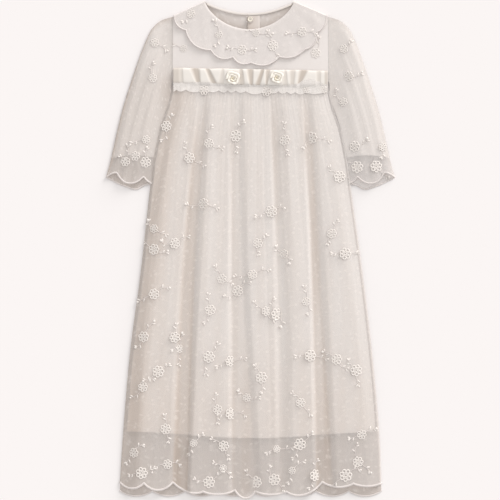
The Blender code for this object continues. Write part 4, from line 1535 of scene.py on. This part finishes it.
@dataclass
class Collar:
    """Round scalloped collar, folded over both shoulders."""

    bodice: Bodice
    scallops: tuple[Scallop, ...] = (
        Scallop(-124.6, 382.5, 6.0), Scallop(-105.7, 359.9, 10.5), Scallop(-64.7, 327.1, 8.5),
        Scallop(-28.6, 315.6, 7.0), Scallop(0.9, 306.6, 9.5), Scallop(46.8, 316.4, 7.0),
        Scallop(88.5, 327.9, 7.5), Scallop(108.8, 356.6, 5.0), Scallop(124.6, 382.5, 0.0),
    )
    lobe_steps: int = 22
    rings: int = 30
    lift_keys: tuple[float, ...] = (0.0, 0.4, 0.8, 1.0)
    lifts: tuple[float, ...] = (0.0, 0.4, 1.0, 1.4)
    lobe_power: float = 0.8
    flat_lobe: float = 0.55
    shoulder_fade: float = 0.6
    slow_wave: float = 0.35
    quick_wave: float = 0.3
    neck_roll: float = 0.8
    neck_roll_run: float = 40.0
    neck_roll_radius: float = 2.5
    wrap: float = 2.0
    wrap_steps: int = 12
    tip_lift: float = 0.4
    back_columns: int = 60
    back_depth: float = 50.0
    back_lobes: int = 4
    back_drop: float = 6.0
    back_z: float = 0.5

    def edge(self, k: float) -> tuple[float, float, float]:
        """Follow the collar's scalloped edge.

        Args:
            k: Place along it, counted in cusps from the left.

        Returns:
            X and Y of the edge, and the share along its lobe.
        """
        index = min(int(k), len(self.scallops) - 2)
        share = k - index
        cusp, following = self.scallops[index], self.scallops[index + 1]
        along = (following.x - cusp.x, following.y - cusp.y)
        length = math.hypot(*along)
        hang = cusp.drop * max(math.sin(math.pi * share), 0.0) ** self.lobe_power
        return (cusp.x + along[0] * share + along[1] / length * hang,
                cusp.y + along[1] * share - along[0] / length * hang, share)

    def front_columns(self) -> list[Array]:
        """Lay out the front.

        Returns:
            Its columns, from the left shoulder to the right one.
        """
        lobes = len(self.scallops) - 1
        shares = np.linspace(0.0, 1.0, self.rings)
        lift = flowing(self.lift_keys, self.lifts, shares)
        columns = []
        for k in np.linspace(0.0, lobes, lobes * self.lobe_steps + 1):
            edge_x, edge_y, along = self.edge(float(k))
            neck_x, neck_y = self.bodice.neck_front(np.array(-math.cos(math.pi * k / lobes)))
            x = blend(neck_x, edge_x, shares)
            y = blend(neck_y, edge_y, shares)
            fade = float(ease(min(k, lobes - k) / self.shoulder_fade))
            lobe = blend(self.flat_lobe, 1.0, math.sin(math.pi * along))
            slow = self.slow_wave * drift(x * 1.5, y * 1.2, 44)
            quick = self.quick_wave * drift(x * 4.0, y * 6.0, 45)
            waves = (slow + quick) * ease(4.0 * shares) * fade
            beyond_roll = rounded(shares * self.neck_roll_run, self.neck_roll_radius)
            neck_roll = self.neck_roll * (1.0 - beyond_roll) * fade
            z = self.bodice.yoke_top(x) + GAP + HALF_WALL + lift * blend(self.tip_lift, lobe, fade)
            columns.append(np.stack((x, y, z + waves - neck_roll), axis=-1))
        return columns

    def side_columns(self, hand: float) -> list[Array]:
        """Lay out the collar round one shoulder and along the back.

        Args:
            hand: -1 for the left shoulder, 1 for the right one.

        Returns:
            Its columns, from front to back.
        """
        bodice = self.bodice
        shares = np.linspace(0.0, 1.0, self.rings)
        lift = flowing(self.lift_keys, self.lifts, shares)
        tip = self.scallops[-1] if hand > 0 else self.scallops[0]
        neck_x, neck_y = bodice.neck_front(np.array(hand))
        length = math.hypot(tip.x - neck_x, tip.y - neck_y)
        normal = (hand * (neck_y - tip.y) / length, abs(tip.x - neck_x) / length)
        columns = []
        x = blend(neck_x, tip.x, shares)
        y = blend(neck_y, tip.y, shares)
        crest = bodice.yoke_top(x) + GAP + HALF_WALL + lift * self.tip_lift
        for turn in np.linspace(0.0, np.pi, self.wrap_steps + 1)[1:]:
            bulge = self.wrap * math.sin(turn)
            z = blend(self.back_z, crest, 0.5 + 0.5 * math.cos(turn))
            columns.append(np.stack((x + normal[0] * bulge, y + normal[1] * bulge, z), axis=-1))
        stop = (bodice.opening_x - bodice.neck_centre_x) / bodice.neck_half + hand * 0.012
        stop_x = bodice.neck_centre_x + bodice.neck_half * stop
        for share in np.linspace(0.0, 1.0, self.back_columns + 1)[1:]:
            neck_x, neck_y = bodice.neck_back(np.array(blend(hand, stop, share)))
            angle = 0.5 * math.pi * share
            lobe = abs(math.sin(math.pi * self.back_lobes * share)) ** self.lobe_power
            edge_x = blend(tip.x, stop_x, math.sin(angle))
            edge_y = tip.y - self.back_depth * (1.0 - math.cos(angle)) - self.back_drop * lobe * share
            columns.append(np.stack((blend(neck_x, edge_x, shares), blend(neck_y, edge_y, shares),
                                     np.full(self.rings, self.back_z)), axis=-1))
        return columns

    def build(self, net: Material, needle: Needlework) -> Surface:
        """Make the collar and its corded edge.

        Args:
            net: Material of the collar.
            needle: Node trees for the cord.

        Returns:
            The collar, for what is sewn on it.
        """
        columns = self.side_columns(-1.0)[::-1] + self.front_columns() + self.side_columns(1.0)
        points = np.array(columns).transpose(1, 0, 2)
        collar = grid_object("collar_net_folded", points, net)
        seated(collar, ["collar"])
        outer = points[-1] * MM
        visible = outer[outer[:, 2] > 1.5 * MM]
        cord = needle.cord("collar_corded_edge", [visible.tolist()], width=2.8, height=1.2, core=0.5)
        seated(cord)
        return Surface(collar)


@dataclass
class Sleeve:
    """One net sleeve, a flattened tube with its lining inside and a scalloped cuff."""

    side: str
    hand: float
    relief: float = 1.0
    sections: tuple[Section, ...] = (
        Section(-127.3, 381.9, -128.7, 277.9, 0.6), Section(-146.7, 375.5, -130.3, 264.8, 1.6),
        Section(-161.5, 362.4, -133.1, 253.3, 2.4), Section(-171.3, 343.5, -136.9, 238.5, 2.9),
        Section(-182.8, 314.0, -143.4, 220.5, 3.0), Section(-196.7, 273.0, -150.0, 199.2, 3.0),
        Section(-209.0, 233.6, -154.9, 174.6, 3.0), Section(-219.7, 191.0, -159.8, 150.0, 2.8),
        Section(-228.7, 150.0, -163.4, 128.7, 2.6), Section(-236.9, 118.8, -165.2, 107.8, 2.4),
    )
    creases: tuple[Crease, ...] = (
        Crease(0.0, 0.0), Crease(0.14, 0.9), Crease(0.3, 0.3), Crease(0.38, 1.0), Crease(0.56, 0.4),
        Crease(0.64, 1.0), Crease(0.8, 0.3), Crease(0.9, 0.5), Crease(1.0, 0.0),
    )
    cuffs: tuple[Cuff, ...] = (
        Cuff(0.0, 0.0, 0.0), Cuff(0.1, -6.0, 2.5), Cuff(0.22, -9.5, 5.5), Cuff(0.3, -3.5, 7.5),
        Cuff(0.42, 3.0, 9.5), Cuff(0.54, 4.2, 11.0), Cuff(0.66, 2.0, 12.5), Cuff(0.76, -3.5, 10.5),
        Cuff(0.84, -9.5, 5.5), Cuff(0.92, -4.0, 2.0), Cuff(1.0, 0.0, 0.0),
    )
    top_columns: int = 90
    under_columns: int = 36
    rows: int = 130
    net_room: float = 4.3
    under_z: float = 0.4
    seam_z: float = 3.4
    seam_tuck: float = 1.2
    seam_x: float = 127.0
    seam_slope: float = 44.0
    outer_brim: Pair = (4.0, 14.0)
    inner_brim: Pair = (3.0, 24.0)
    inner_tuck: float = 3.3
    lean: float = 0.15
    lining_end: float = 8.0
    head: Pleats = Pleats(0.5, 7, 0.15, 0.5, 51)
    soft: Pleats = Pleats(0.5, 4, 0.4, 2.0, 60)
    left_seed_shift: int = 6
    sway: float = 0.4
    lining_inset: float = 1.3
    cuff_start: float = 7.8
    cuff_run: float = 1.2
    tuck_share: float = 0.12
    tuck_start: float = 0.6
    tuck_run: float = 1.5
    crown_share: float = 0.55
    crown_power: float = 0.7
    fold_run: float = 2.0
    head_run: float = 0.4
    shoulder_run: float = 1.4
    seam_run: float = 0.5
    under_inset: float = 0.8
    # Where the sleeve's painted shade falls and fades.
    rim_run: float = 9.0
    armpit_y: float = 150.0
    armpit_run: float = 60.0
    shoulder_y: float = 262.0
    shoulder_shade_run: float = 34.0
    shoulder_light_run: float = 60.0
    body_x: float = 134.0
    body_run: float = 22.0

    def edge_lines(self, at: Array) -> list[Array]:
        """Return outer x, outer y, inner x, inner y and rise at places down the sleeve."""
        keys = np.arange(len(self.sections))
        return [flowing(keys, [section[i] for section in self.sections], at) for i in range(5)]

    def layer(self, at: Array, share: Array, on_top: bool, inset: float) -> Array:
        """Lay out one layer of the flattened tube.

        Args:
            at: Place down the sleeve, in sections, for each point.
            share: Place across it, 0 at the outer edge to 1 at the inner one.
            on_top: Whether this is the upper layer.
            inset: Distance that the layer keeps from the outermost form.

        Returns:
            The points, in millimetres.
        """
        outer_x, outer_y, inner_x, inner_y, rise = self.edge_lines(at)
        width = np.hypot(inner_x - outer_x, inner_y - outer_y)
        margin = inset / width
        place = blend(margin, 1.0 - margin, share)
        hang = [cuff.front if on_top else cuff.back for cuff in self.cuffs]
        reach = flowing([cuff.share for cuff in self.cuffs], hang, share)
        reach = reach * ease((at - self.cuff_start) / self.cuff_run)
        x = blend(outer_x, inner_x, place) - self.lean * reach
        y = blend(outer_y, inner_y, place) - reach
        at_inner_edge = ease((share - 1.0) / self.tuck_share + 1.0)
        x = x + self.inner_tuck * at_inner_edge * ease((at - self.tuck_start) / self.tuck_run)
        middle = 0.5 * self.net_room
        round_off = np.minimum(brim(share * width, *self.outer_brim),
                               brim((1.0 - share) * width, *self.inner_brim))
        if on_top:
            arch = np.sin(np.pi * np.clip(share, 0.0, 1.0)) ** self.crown_power
            crown = self.net_room + self.crown_share * rise * arch
            grown_in = ease(at / self.fold_run)
            folds = stepped([c.share for c in self.creases], [c.height for c in self.creases], share)
            shift = 0 if self.hand > 0 else self.left_seed_shift
            down = at / (len(self.sections) - 1.0)
            head = ripple(share, down, self.head, shift) * ease(at / self.head_run)
            soft = ripple(share + 0.01 * np.sin(at), down, self.soft, shift) * grown_in
            waves = self.relief * (folds * grown_in + head + soft) + self.sway * drift(x, y, 66)
            crown = crown + waves - inset
            z = blend(middle, crown, np.maximum(round_off, 1.0 - ease(at / self.shoulder_run)))
            at_seam = 1.0 - ease((np.abs(x) - self.seam_x) / self.seam_slope)
            z = blend(z, self.seam_z - inset, at_seam)
            x = x + self.seam_tuck * (1.0 - ease(at / self.seam_run))
        else:
            z = blend(middle, self.under_z + self.under_inset * inset, round_off)
        return np.stack((self.hand * -x, y, z), axis=-1)

    def tube(self, inset: float, last: float, slant: float) -> Array:
        """Lay out the flattened tube.

        Args:
            inset: Distance that it keeps from the outermost form.
            last: Place at which it ends, in sections.
            slant: How much sooner it ends at its inner edge.

        Returns:
            Its rows of points, in millimetres.
        """
        swing = np.linspace(0.0, np.pi, self.top_columns)
        top = 0.5 + 0.5 * np.cos(swing)
        under = 0.5 - 0.5 * np.cos(np.linspace(0.0, np.pi, self.under_columns + 2)[1:-1])
        layers = []
        for share, on_top in ((top, True), (under, False)):
            across, down = np.meshgrid(share, np.linspace(0.0, 1.0, self.rows))
            layers.append(self.layer(down * (last - slant * across), across, on_top, inset))
        return np.concatenate(layers, axis=1)

    def shade(self, points: Array) -> Array:
        """Work out the sleeve's painted shade: at the armpit, along its outer rim, and away from the light.

        Args:
            points: Points of the tube.

        Returns:
            The painted shade of each point.
        """
        on_left = self.hand < 0
        from_middle = np.abs(points[..., 0])
        up = points[..., 1]
        # Painted shade at the armpit beside the body, less towards the shoulder.
        shoulder = 1.0 - 0.75 * ease((up - self.shoulder_y) / self.shoulder_shade_run)
        armpit = ease((up - self.armpit_y) / self.armpit_run) * shoulder
        beside_body = 1.0 - ease((from_middle - self.body_x) / self.body_run)
        shade = (0.35 if on_left else 0.18) * armpit * beside_body
        # Painted shade along the outer rim and, on the left sleeve, away from the light.
        outer = points[:, self.top_columns - 1:self.top_columns]
        at_rim = 1.0 - ease(np.linalg.norm(points - outer, axis=-1) / self.rim_run)
        away = 0.32 - 0.22 * ease((up - self.shoulder_y) / self.shoulder_light_run)
        shade = shade + (0.5 * at_rim + away if on_left else 0.2 * at_rim)
        # Painted shade on the left sleeve's under layer, which darkens its sheer cuff.
        shade[:, self.top_columns:] = 0.7 if on_left else 0.0
        return shade

    def build(self, net: Material, lining: Material, needle: Needlework) -> Surface:
        """Make the sleeve, its lining and its corded cuff.

        Args:
            net: Material of the sleeve.
            lining: Material of the lining.
            needle: Node trees for the cord.

        Returns:
            The sleeve, for what is sewn on it.
        """
        points = self.tube(0.0, len(self.sections) - 1.0, 0.0)
        turned = self.hand < 0
        sleeve = grid_object(f"sleeve_{self.side}_net", points, net, ring=True, turned=turned,
                             shade=self.shade(points))
        seated(sleeve, ["sleeve_" + self.side])
        lining_points = self.tube(self.lining_inset, self.lining_end, 1.0)
        tube = grid_object(f"sleeve_{self.side}_lining", lining_points, lining, ring=True, turned=turned)
        seated(tube, ["sleeve_lining_" + self.side])
        rim = np.vstack((points[-1], points[-1][:1])) * MM
        cord = needle.cord(f"sleeve_{self.side}_corded_cuff", [rim.tolist()], width=3.2, height=1.5, core=0.6)
        seated(cord)
        return Surface(sleeve)


@dataclass(frozen=True)
class Rose:
    """Rose coiled from one ribbon, folded double along its length."""

    side: str
    x: float
    y: float
    radius: float
    turns: float = 2.4
    start_angle: float = 0.7
    foot_share: float = 0.62
    lean_share: float = 0.42
    petal_swell: float = 0.1
    petals: float = 9.5
    fold_thick: float = 0.35
    eye_height: float = 2.8
    rim_height: float = 1.9

    def build(self, seat: float, satin: Material) -> None:
        """Coil the ribbon.

        Args:
            seat: Height of the rose's underside.
            satin: Its material.
        """
        coil, across = np.meshgrid(np.linspace(0.0, 1.0, 260), np.linspace(-1.0, 1.0, 17))
        up = 1.0 - np.abs(across)
        angle = 2.0 * np.pi * self.turns * coil + self.start_angle
        foot = blend(0.6, self.radius * self.foot_share, coil ** 0.9)
        lean = blend(0.4, self.radius * self.lean_share, coil)
        petal = 1.0 + self.petal_swell * np.sin(self.petals * angle / self.turns)
        leaf = self.fold_thick * np.clip(across * 4.0, -1.0, 1.0)
        reach = (foot + lean * up ** 1.6) * petal + leaf
        height = blend(self.eye_height, self.rim_height, coil) + 0.15 * np.sin(7.0 * angle)
        z = seat + height * np.sin(0.5 * np.pi * up) - 0.9 * ease((up - 0.75) / 0.25) * coil
        points = np.stack((self.x + reach * np.cos(angle), self.y + reach * np.sin(angle), z), axis=-1)
        # Not shade: here the shade attribute carries the rose's own yellower centre.
        shade = blend(1.0, 0.0, ease(coil * 2.2))
        rose = grid_object(f"rosette_{self.side}_coiled", points, satin, shade=shade)
        seated(rose, ["rosette_" + self.side])


@dataclass
class RibbonBand:
    """Ruched satin ribbon over the waist seam, with two coiled roses and a net frill."""

    bodice: Bodice
    form: SkirtForm
    tucks: tuple[Tuck, ...] = (
        Tuck(-113.5, -112.4, 2.6, 3.0, 0.4), Tuck(-89.6, -84.4, 6.6, 3.0, 0.85),
        Tuck(-70.4, -58.2, 3.4, 4.4, 0.8), Tuck(-45.0, -47.0, 2.0, 4.6, 0.35),
        Tuck(-15.0, -13.6, 2.6, 4.6, 0.6), Tuck(0.4, 1.6, 5.0, 2.6, 0.85),
        Tuck(20.6, 12.4, 2.6, 3.8, 0.9), Tuck(29.4, 26.4, 3.8, 1.4, 0.75),
        Tuck(57.0, 58.0, 1.6, 4.0, 0.35), Tuck(70.0, 68.4, 4.6, 3.0, 0.5),
        Tuck(88.8, 79.0, 6.4, 2.2, 0.9), Tuck(112.4, 112.0, 3.4, 3.0, 0.4),
    )
    crest: float = 1.8
    # Beyond this span the ribbon's ends take painted shade.
    bright_span: Pair = (-115.5, 121.5)
    end_x: float = 126.4
    width: float = 26.5
    foot: float = 0.6
    columns: int = 520
    rows: int = 22
    edge_keys: tuple[float, ...] = (0.0, 0.12, 0.5, 0.88, 1.0)
    edge_press: tuple[float, ...] = (0.35, 0.9, 1.0, 0.9, 0.35)
    frill_top: tuple[Pair, ...] = (
        (-128.0, 1.5), (-100.0, 2.5), (-75.0, 3.5), (-50.0, 1.0), (0.0, 0.5), (50.0, 0.8), (74.0, 3.0),
        (88.0, 10.0), (98.0, 13.0), (110.0, 9.0), (120.0, 5.0), (128.0, 1.5),
    )
    frill_depth: float = 13.0
    frill_seat: float = 0.5
    frill_columns: int = 640
    frill_rows: int = 14
    frill_lobes: float = 13.0
    frill_lobe_drop: float = 3.5
    frill_top_rise: float = 1.2
    frill_lift: float = 0.35
    edge_sway: float = 0.9
    frill_pleats: Pleats = Pleats(1.0, 27, 1.0, 1.1, 83)
    left_reach: float = 1.55
    end_shade: float = 0.6
    sway: float = 0.35
    ribbon_thick: float = 0.35
    roses: tuple[Rose, ...] = (Rose("left", -28.6, 279.8, 13.0), Rose("right", 43.5, 281.2, 12.4))

    def tucked(self, x: Array, share: Array) -> Array:
        """Follow the tucks of the ribbon.

        Args:
            x: Places along it, in millimetres.
            share: Share down from its upper edge.

        Returns:
            How deep in a tuck each point lies, 0 to 1.
        """
        depth = np.zeros(np.shape(x))
        for tuck in self.tucks:
            centre = blend(tuck.top_x, tuck.bottom_x, share)
            half = blend(tuck.top_half, tuck.bottom_half, share)
            beside = np.where(x > centre, 1.0, self.left_reach) * half
            depth = np.maximum(depth, tuck.depth * ease(1.3 - np.abs(x - centre) / beside))
        return depth

    def height(self, x: Array, share: Array) -> Array:
        """Follow the ribbon's face.

        Args:
            x: Places along it, in millimetres.
            share: Share down from its upper edge.

        Returns:
            Height of each point.
        """
        press = flowing(self.edge_keys, self.edge_press, share)
        puff = self.crest * (1.0 - 0.9 * self.tucked(x, share)) + self.sway * drift(x * 3.0, 40.0 * share, 19)
        return self.bodice.yoke_top(x) + GAP + HALF_WALL + puff * press

    def build(self, satin: Material, rose_satin: Material, net: Material) -> Surface:
        """Make the ribbon, the roses and the frill.

        Args:
            satin: Material of the ribbon.
            rose_satin: Material of the roses.
            net: Material of the frill.

        Returns:
            The frill, for what is sewn on it.
        """
        x, share = np.meshgrid(np.linspace(-self.end_x, self.end_x, self.columns),
                               np.linspace(0.0, 1.0, self.rows))
        y = self.bodice.waist_y(x) + blend(self.width, self.foot, share)
        y = y + self.edge_sway * drift(x * 2.2, 0.0 * x, 29) * (1.0 - share)
        z = self.height(x, share)
        # Painted shade: the ribbon's ends are darker beyond the bright span, and its tucks are darker too.
        first, last = self.bright_span
        dim = 1.0 - ease((x - first) / 2.0 + 0.5) * ease((last - x) / 2.0 + 0.5)
        depth = np.maximum(self.tucked(x, share), self.end_shade * dim)
        band = grid_object("ribbon_band_satin", xyz(x, y, z), satin, shade=depth)
        solid = band.modifiers.new("cloth", "SOLIDIFY")
        solid.thickness = self.ribbon_thick * MM
        solid.offset = -1.0
        seated(band, ["ribbon_band"])
        for rose in self.roses:
            nearby = self.height(np.array([rose.x - 8.0, rose.x, rose.x + 8.0]), np.full(3, 0.5))
            rose.build(float(nearby.max()) + 0.6, rose_satin)
        return self.build_frill(net)

    def build_frill(self, net: Material) -> Surface:
        """Make the small frill that heads the skirt and laps over the ribbon's edge.

        Args:
            net: Material of the frill.

        Returns:
            The frill, for what is sewn on it.
        """
        form = self.form
        u, share = np.meshgrid(np.linspace(0.006, 0.994, self.frill_columns),
                               np.linspace(0.0, 1.0, self.frill_rows))
        x = blend(-self.bodice.armhole_foot_x, self.bodice.armhole_foot_x, u)
        keys, lifts = zip(*self.frill_top)
        waist = self.bodice.waist_y(x)
        wave = ripple(u, 0.0 * u, self.frill_pleats)
        top = waist + flowing(keys, lifts, x) + self.frill_top_rise * wave
        # The sine keeps the lobes from being evenly wide.
        lobe = np.abs(np.cos(u * np.pi * self.frill_lobes + 1.2 * np.sin(u * 17.0)))
        bottom = (waist - self.frill_depth + self.frill_lobe_drop * (1.0 - lobe)
                  + 2.0 * drift(x * 1.6, 0.0 * x, 3))
        y = blend(top, bottom, share)
        below = form.net_mid + form.rise(x, np.minimum(y, waist)) + self.frill_seat
        ribbon_share = np.clip((waist + self.width - y) / (self.width - self.foot), 0.0, 1.0)
        over_ribbon = self.height(np.clip(x, -126.0, 126.0), ribbon_share)
        below = blend(below, np.maximum(below, over_ribbon), ease((y - waist + 2.0) / 2.0))
        z = below + self.frill_lift + 0.3 * wave * share
        frill = grid_object("waist_frill_net", xyz(x, y, z), net)
        seated(frill, ["waist_frill"])
        return Surface(frill)


def blooms(*rows: tuple[float, float, float]) -> tuple[Bloom, ...]:
    """Return daisies from their places and sizes."""
    return tuple(Bloom(*row) for row in rows)


@dataclass
class Garden:
    """Embroidered daisies, leaves, buds and stems on every cloth that shows them."""

    needle: Needlework
    skirt_blooms: tuple[Bloom, ...] = blooms(
        (-158, 0, 1.0), (-124, 10, 1.0), (-77, 75, 1.0), (34, 62, 1.1),
        (12, 10, 0.9), (3, -41, 0.9), (-21, -68, 1.0), (-66, -99, 1.0),
        (26, -101, 0.9), (43, -106, 1.1), (-158, -73, 1.0), (-175, -143, 1.0),
        (-124, -144, 1.0), (-116, -163, 0.8), (-68, -176, 1.1), (-33, -183, 1.0),
        (18, -210, 1.1), (-151, -200, 1.1), (-176, -225, 0.9), (-6, -243, 0.8),
        (-32, -269, 1.1), (-54, -262, 0.9), (-139, -294, 1.0), (98, -174, 1.1),
        (141, -180, 1.0), (173, -198, 1.1), (155, -7, 1.1), (133, 26, 0.9),
        (82, -251, 0.9), (146, 119, 1.1), (56, 179, 1.0), (100, 183, 1.1),
        (-24, 186, 1.1), (-68, 174, 0.9), (-100, 150, 1.0), (-138, 202, 1.0),
        (-158, 34, 0.8), (-47, -48, 0.9), (55, -7, 0.8), (91, -85, 0.8),
    )
    hem_blooms: tuple[Bloom, ...] = blooms(
        (-191, -333, 0.9), (-178, -366, 1.1), (-136, -352, 0.9), (-93, -317, 0.7),
        (-44, -322, 1.0), (-68, -381, 1.1), (9, -381, 1.1), (39, -377, 1.1),
        (43, -327, 0.7), (81, -319, 1.1), (106, -370, 1.1), (68, -362, 0.7),
        (156, -370, 1.2), (176, -348, 1.0), (182, -303, 0.9), (-45, -358, 0.7),
    )
    yoke_blooms: tuple[Bloom, ...] = blooms((107, 322, 0.9), (-110, 330, 0.7))
    collar_blooms: tuple[Bloom, ...] = blooms(
        (-97.5, 386, 0.8), (37, 333.7, 1.0), (-14, 327, 0.9), (84.5, 356.6, 0.9),
        (9, 355, 0.7), (-52, 352, 0.7),
    )
    left_sleeve_blooms: tuple[Bloom, ...] = blooms(
        (-157, 339, 0.8), (-160, 281, 0.8), (-171, 180, 0.8), (-172, 143, 1.0),
        (-189, 153, 0.9), (-205, 144, 0.9),
    )
    right_sleeve_blooms: tuple[Bloom, ...] = blooms(
        (161, 284, 0.9), (153, 329, 0.8), (152, 242, 0.8), (171, 169, 1.0),
        (175, 135, 1.1), (206, 136, 1.1), (217, 168, 0.8),
    )
    frill_blooms: tuple[Bloom, ...] = blooms(
        (-76, 261, 0.9), (26, 259, 0.9), (92, 262, 0.7), (120, 262, 0.7),
    )
    stem_length: Pair = (13.0, 26.0)
    stem_bend: float = 1.4
    stem_steps: int = 9
    daisy_radius: float = 9.0
    leaf_steps: tuple[int, int] = (3, 6)
    leaf_spin: float = 0.9
    leaf_reach: float = 3.4
    leaf_sizes: Pair = (0.75, 1.05)
    bud_sizes: Pair = (0.8, 1.15)

    def sow(self, name: str, surface: Surface, blooms: Sequence[Bloom], seed: int, sprigs: int) -> None:
        """Sew daisies with their stems, leaves and buds onto one cloth.

        Args:
            name: Start of the objects' names.
            surface: The cloth.
            blooms: The daisies.
            seed: Seed of the sprigs.
            sprigs: Number of stems that leave each daisy.
        """
        random = np.random.default_rng(seed)
        figures = []
        stems = []
        for bloom in blooms:
            hit = surface.touch(bloom.x, bloom.y)
            if hit is None:
                LOG.warning("%s: no cloth under (%.0f, %.0f)", name, bloom.x, bloom.y)
                continue
            point, normal = hit
            figures.append(Figure(Motif.DAISY, point + normal * 0.3 * MM, normal, random.uniform(0.0, 1.0),
                                  bloom.size))
            start = random.uniform(0.0, 2.0 * math.pi)
            for k in range(sprigs):
                heading = start + (2.0 * math.pi / max(sprigs, 1)) * k + random.uniform(-0.5, 0.5)
                self.sprig(surface, bloom, heading, random, figures, stems)
        motifs = self.needle.motifs(name + "_flowers", figures)
        seated(motifs)
        if stems:
            threads = self.needle.cord(name + "_stems", stems, pitch=1.8, length=2.2, width=0.9, height=0.7,
                                       core=0.25)
            seated(threads)

    def sprig(self, surface: Surface, bloom: Bloom, heading: float, random: np.random.Generator,
              figures: list[Figure], stems: list[list[tuple[float, ...]]]) -> None:
        """Add one curved stem with two leaves and a bud.

        Args:
            surface: The cloth.
            bloom: The daisy that the stem leaves.
            heading: Direction in which it sets out, in radians.
            random: Source of the uneven sizes.
            figures: List that takes the leaves and the bud.
            stems: List that takes the stem.
        """
        length = random.uniform(*self.stem_length)
        bend = random.uniform(-self.stem_bend, self.stem_bend)
        reach = self.daisy_radius * bloom.size
        x, y = bloom.x + reach * math.cos(heading), bloom.y + reach * math.sin(heading)
        line = []
        for k in range(self.stem_steps):
            hit = surface.touch(x, y)
            if hit is None:
                break
            line.append(hit[0] + hit[1] * 0.35 * MM)
            if k in self.leaf_steps:
                spin = heading + (self.leaf_spin if k == self.leaf_steps[0] else -self.leaf_spin)
                leaf = surface.touch(x + self.leaf_reach * math.cos(spin),
                                     y + self.leaf_reach * math.sin(spin))
                if leaf is not None:
                    figures.append(Figure(Motif.LEAF, leaf[0] + leaf[1] * 0.2 * MM, leaf[1], spin,
                                          random.uniform(*self.leaf_sizes)))
            heading += bend / self.stem_steps
            x += length / self.stem_steps * math.cos(heading)
            y += length / self.stem_steps * math.sin(heading)
        if len(line) > 2:
            stems.append([tuple(point) for point in line])
        if len(line) == self.stem_steps:
            figures.append(Figure(Motif.BUD, line[-1], Vector((0.0, 0.0, surface.up)), heading,
                                  random.uniform(*self.bud_sizes)))


@dataclass
class Studio:
    """Floor, soft light from the upper right, and a camera straight above."""

    frame_width: float = 820.0
    centre: Pair = (-0.74, -0.9)
    lens_mm: float = 100.0
    sensor_mm: float = 36.0
    floor_half: float = 6.0
    sun_from: tuple[float, float, float] = (0.5, 0.64, 0.22)
    sun_strength: float = 3.1
    sun_spread: float = 26.0
    sky_strength: float = 0.82

    def build(self, paper: Material) -> None:
        """Set the stage.

        Args:
            paper: Material of the floor.
        """
        half = self.floor_half
        mesh = bpy.data.meshes.new("floor")
        mesh.from_pydata([(-half, -half, 0.0), (half, -half, 0.0), (half, half, 0.0), (-half, half, 0.0)],
                         [], [(0, 1, 2, 3)])
        mesh.materials.append(paper)
        linked("floor", mesh)

        sun = linked("soft_key", bpy.data.lights.new("soft_key", "SUN"))
        sun.data.energy = self.sun_strength
        sun.data.angle = math.radians(self.sun_spread)
        sun.data.color = (1.0, 0.985, 0.975)
        sun.rotation_mode = "QUATERNION"
        sun.rotation_quaternion = Vector(self.sun_from).to_track_quat("Z", "Y")

        world = bpy.data.worlds.new("studio")
        world.use_nodes = True
        sky = world.node_tree.nodes["Background"]
        sky.inputs["Color"].default_value = (1.0, 0.99, 0.985, 1.0)
        sky.inputs["Strength"].default_value = self.sky_strength
        bpy.context.scene.world = world

        camera = linked("camera", bpy.data.cameras.new("camera"))
        camera.data.lens = self.lens_mm
        camera.data.sensor_width = self.sensor_mm
        distance = self.frame_width * MM * self.lens_mm / self.sensor_mm
        camera.location = (self.centre[0] * MM, self.centre[1] * MM, distance + 5.0 * MM)
        bpy.context.scene.camera = camera
        bpy.context.scene.view_settings.view_transform = "Standard"


def main() -> None:
    """Build the gown in order and report each piece."""
    logging.basicConfig(level=logging.INFO, format="%(name)s %(message)s")
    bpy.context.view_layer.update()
    net = Tulle().make()
    collar_net = Tulle("nylon_tulle_doubled", thread="#EAE3DF", open_alpha=0.75, thread_alpha=0.86).make()
    frill_net = Tulle("nylon_tulle_gathered", thread="#EFE9E4", sewn="#F6F1ED", open_alpha=0.7,
                      thread_alpha=0.9).make()
    # Its fold colour is the painted shadow inside the back neck.
    lined_net = Tulle("nylon_tulle_on_lawn", thread="#E4DDD9", fold="#CBC1BA", sewn="#E7E1DD",
                      see_through=False).make()
    lawn = Lining().make()
    # Painted shade: a darker copy of the lawn for the placket inside the shaded neck.
    strip = Lining("cotton_lawn_painted_shade", colour="#E3DBD6", fold="#CDC0B6").make()
    satin = Satin().make()
    rose_satin = Satin(name="polyester_satin_cream", colour="#F8F2E8", deep="#F0E5C4", roughness=0.7).make()
    binding = Satin(name="cotton_sateen_binding", colour="#E2DAD3", roughness=0.6).make()
    resin = ButtonResin().make()
    covered = Embroidery(name="cotton_cord_covered", colour="#DFD7D3").make()
    needle = Needlework(Embroidery().make(), covered)

    bodice = Bodice()
    form = SkirtForm(bodice)
    front = Skirt(form).build(net, lawn, needle)
    yoke = Yokes(bodice).build(lined_net, strip, binding, resin, needle)
    collar = Collar(bodice).build(collar_net, needle)
    left = Sleeve("left", -1.0).build(net, lawn, needle)
    right = Sleeve("right", 1.0, relief=0.5).build(net, lawn, needle)
    frill = RibbonBand(bodice, form).build(satin, rose_satin, frill_net)

    garden = Garden(needle)
    for name, cloth, blooms, seed, sprigs in (
            ("skirt_front", front, garden.skirt_blooms, 101, 2),
            ("skirt_hem", front, garden.hem_blooms, 102, 2),
            ("yoke_front", yoke, garden.yoke_blooms, 103, 1),
            ("collar", collar, garden.collar_blooms, 104, 2),
            ("sleeve_left", left, garden.left_sleeve_blooms, 105, 1),
            ("sleeve_right", right, garden.right_sleeve_blooms, 106, 1),
            ("waist_frill", frill, garden.frill_blooms, 107, 0)):
        garden.sow(name, cloth, blooms, seed, sprigs)
    Studio().build(Paper().make())


if __name__ == "__main__":
    main()
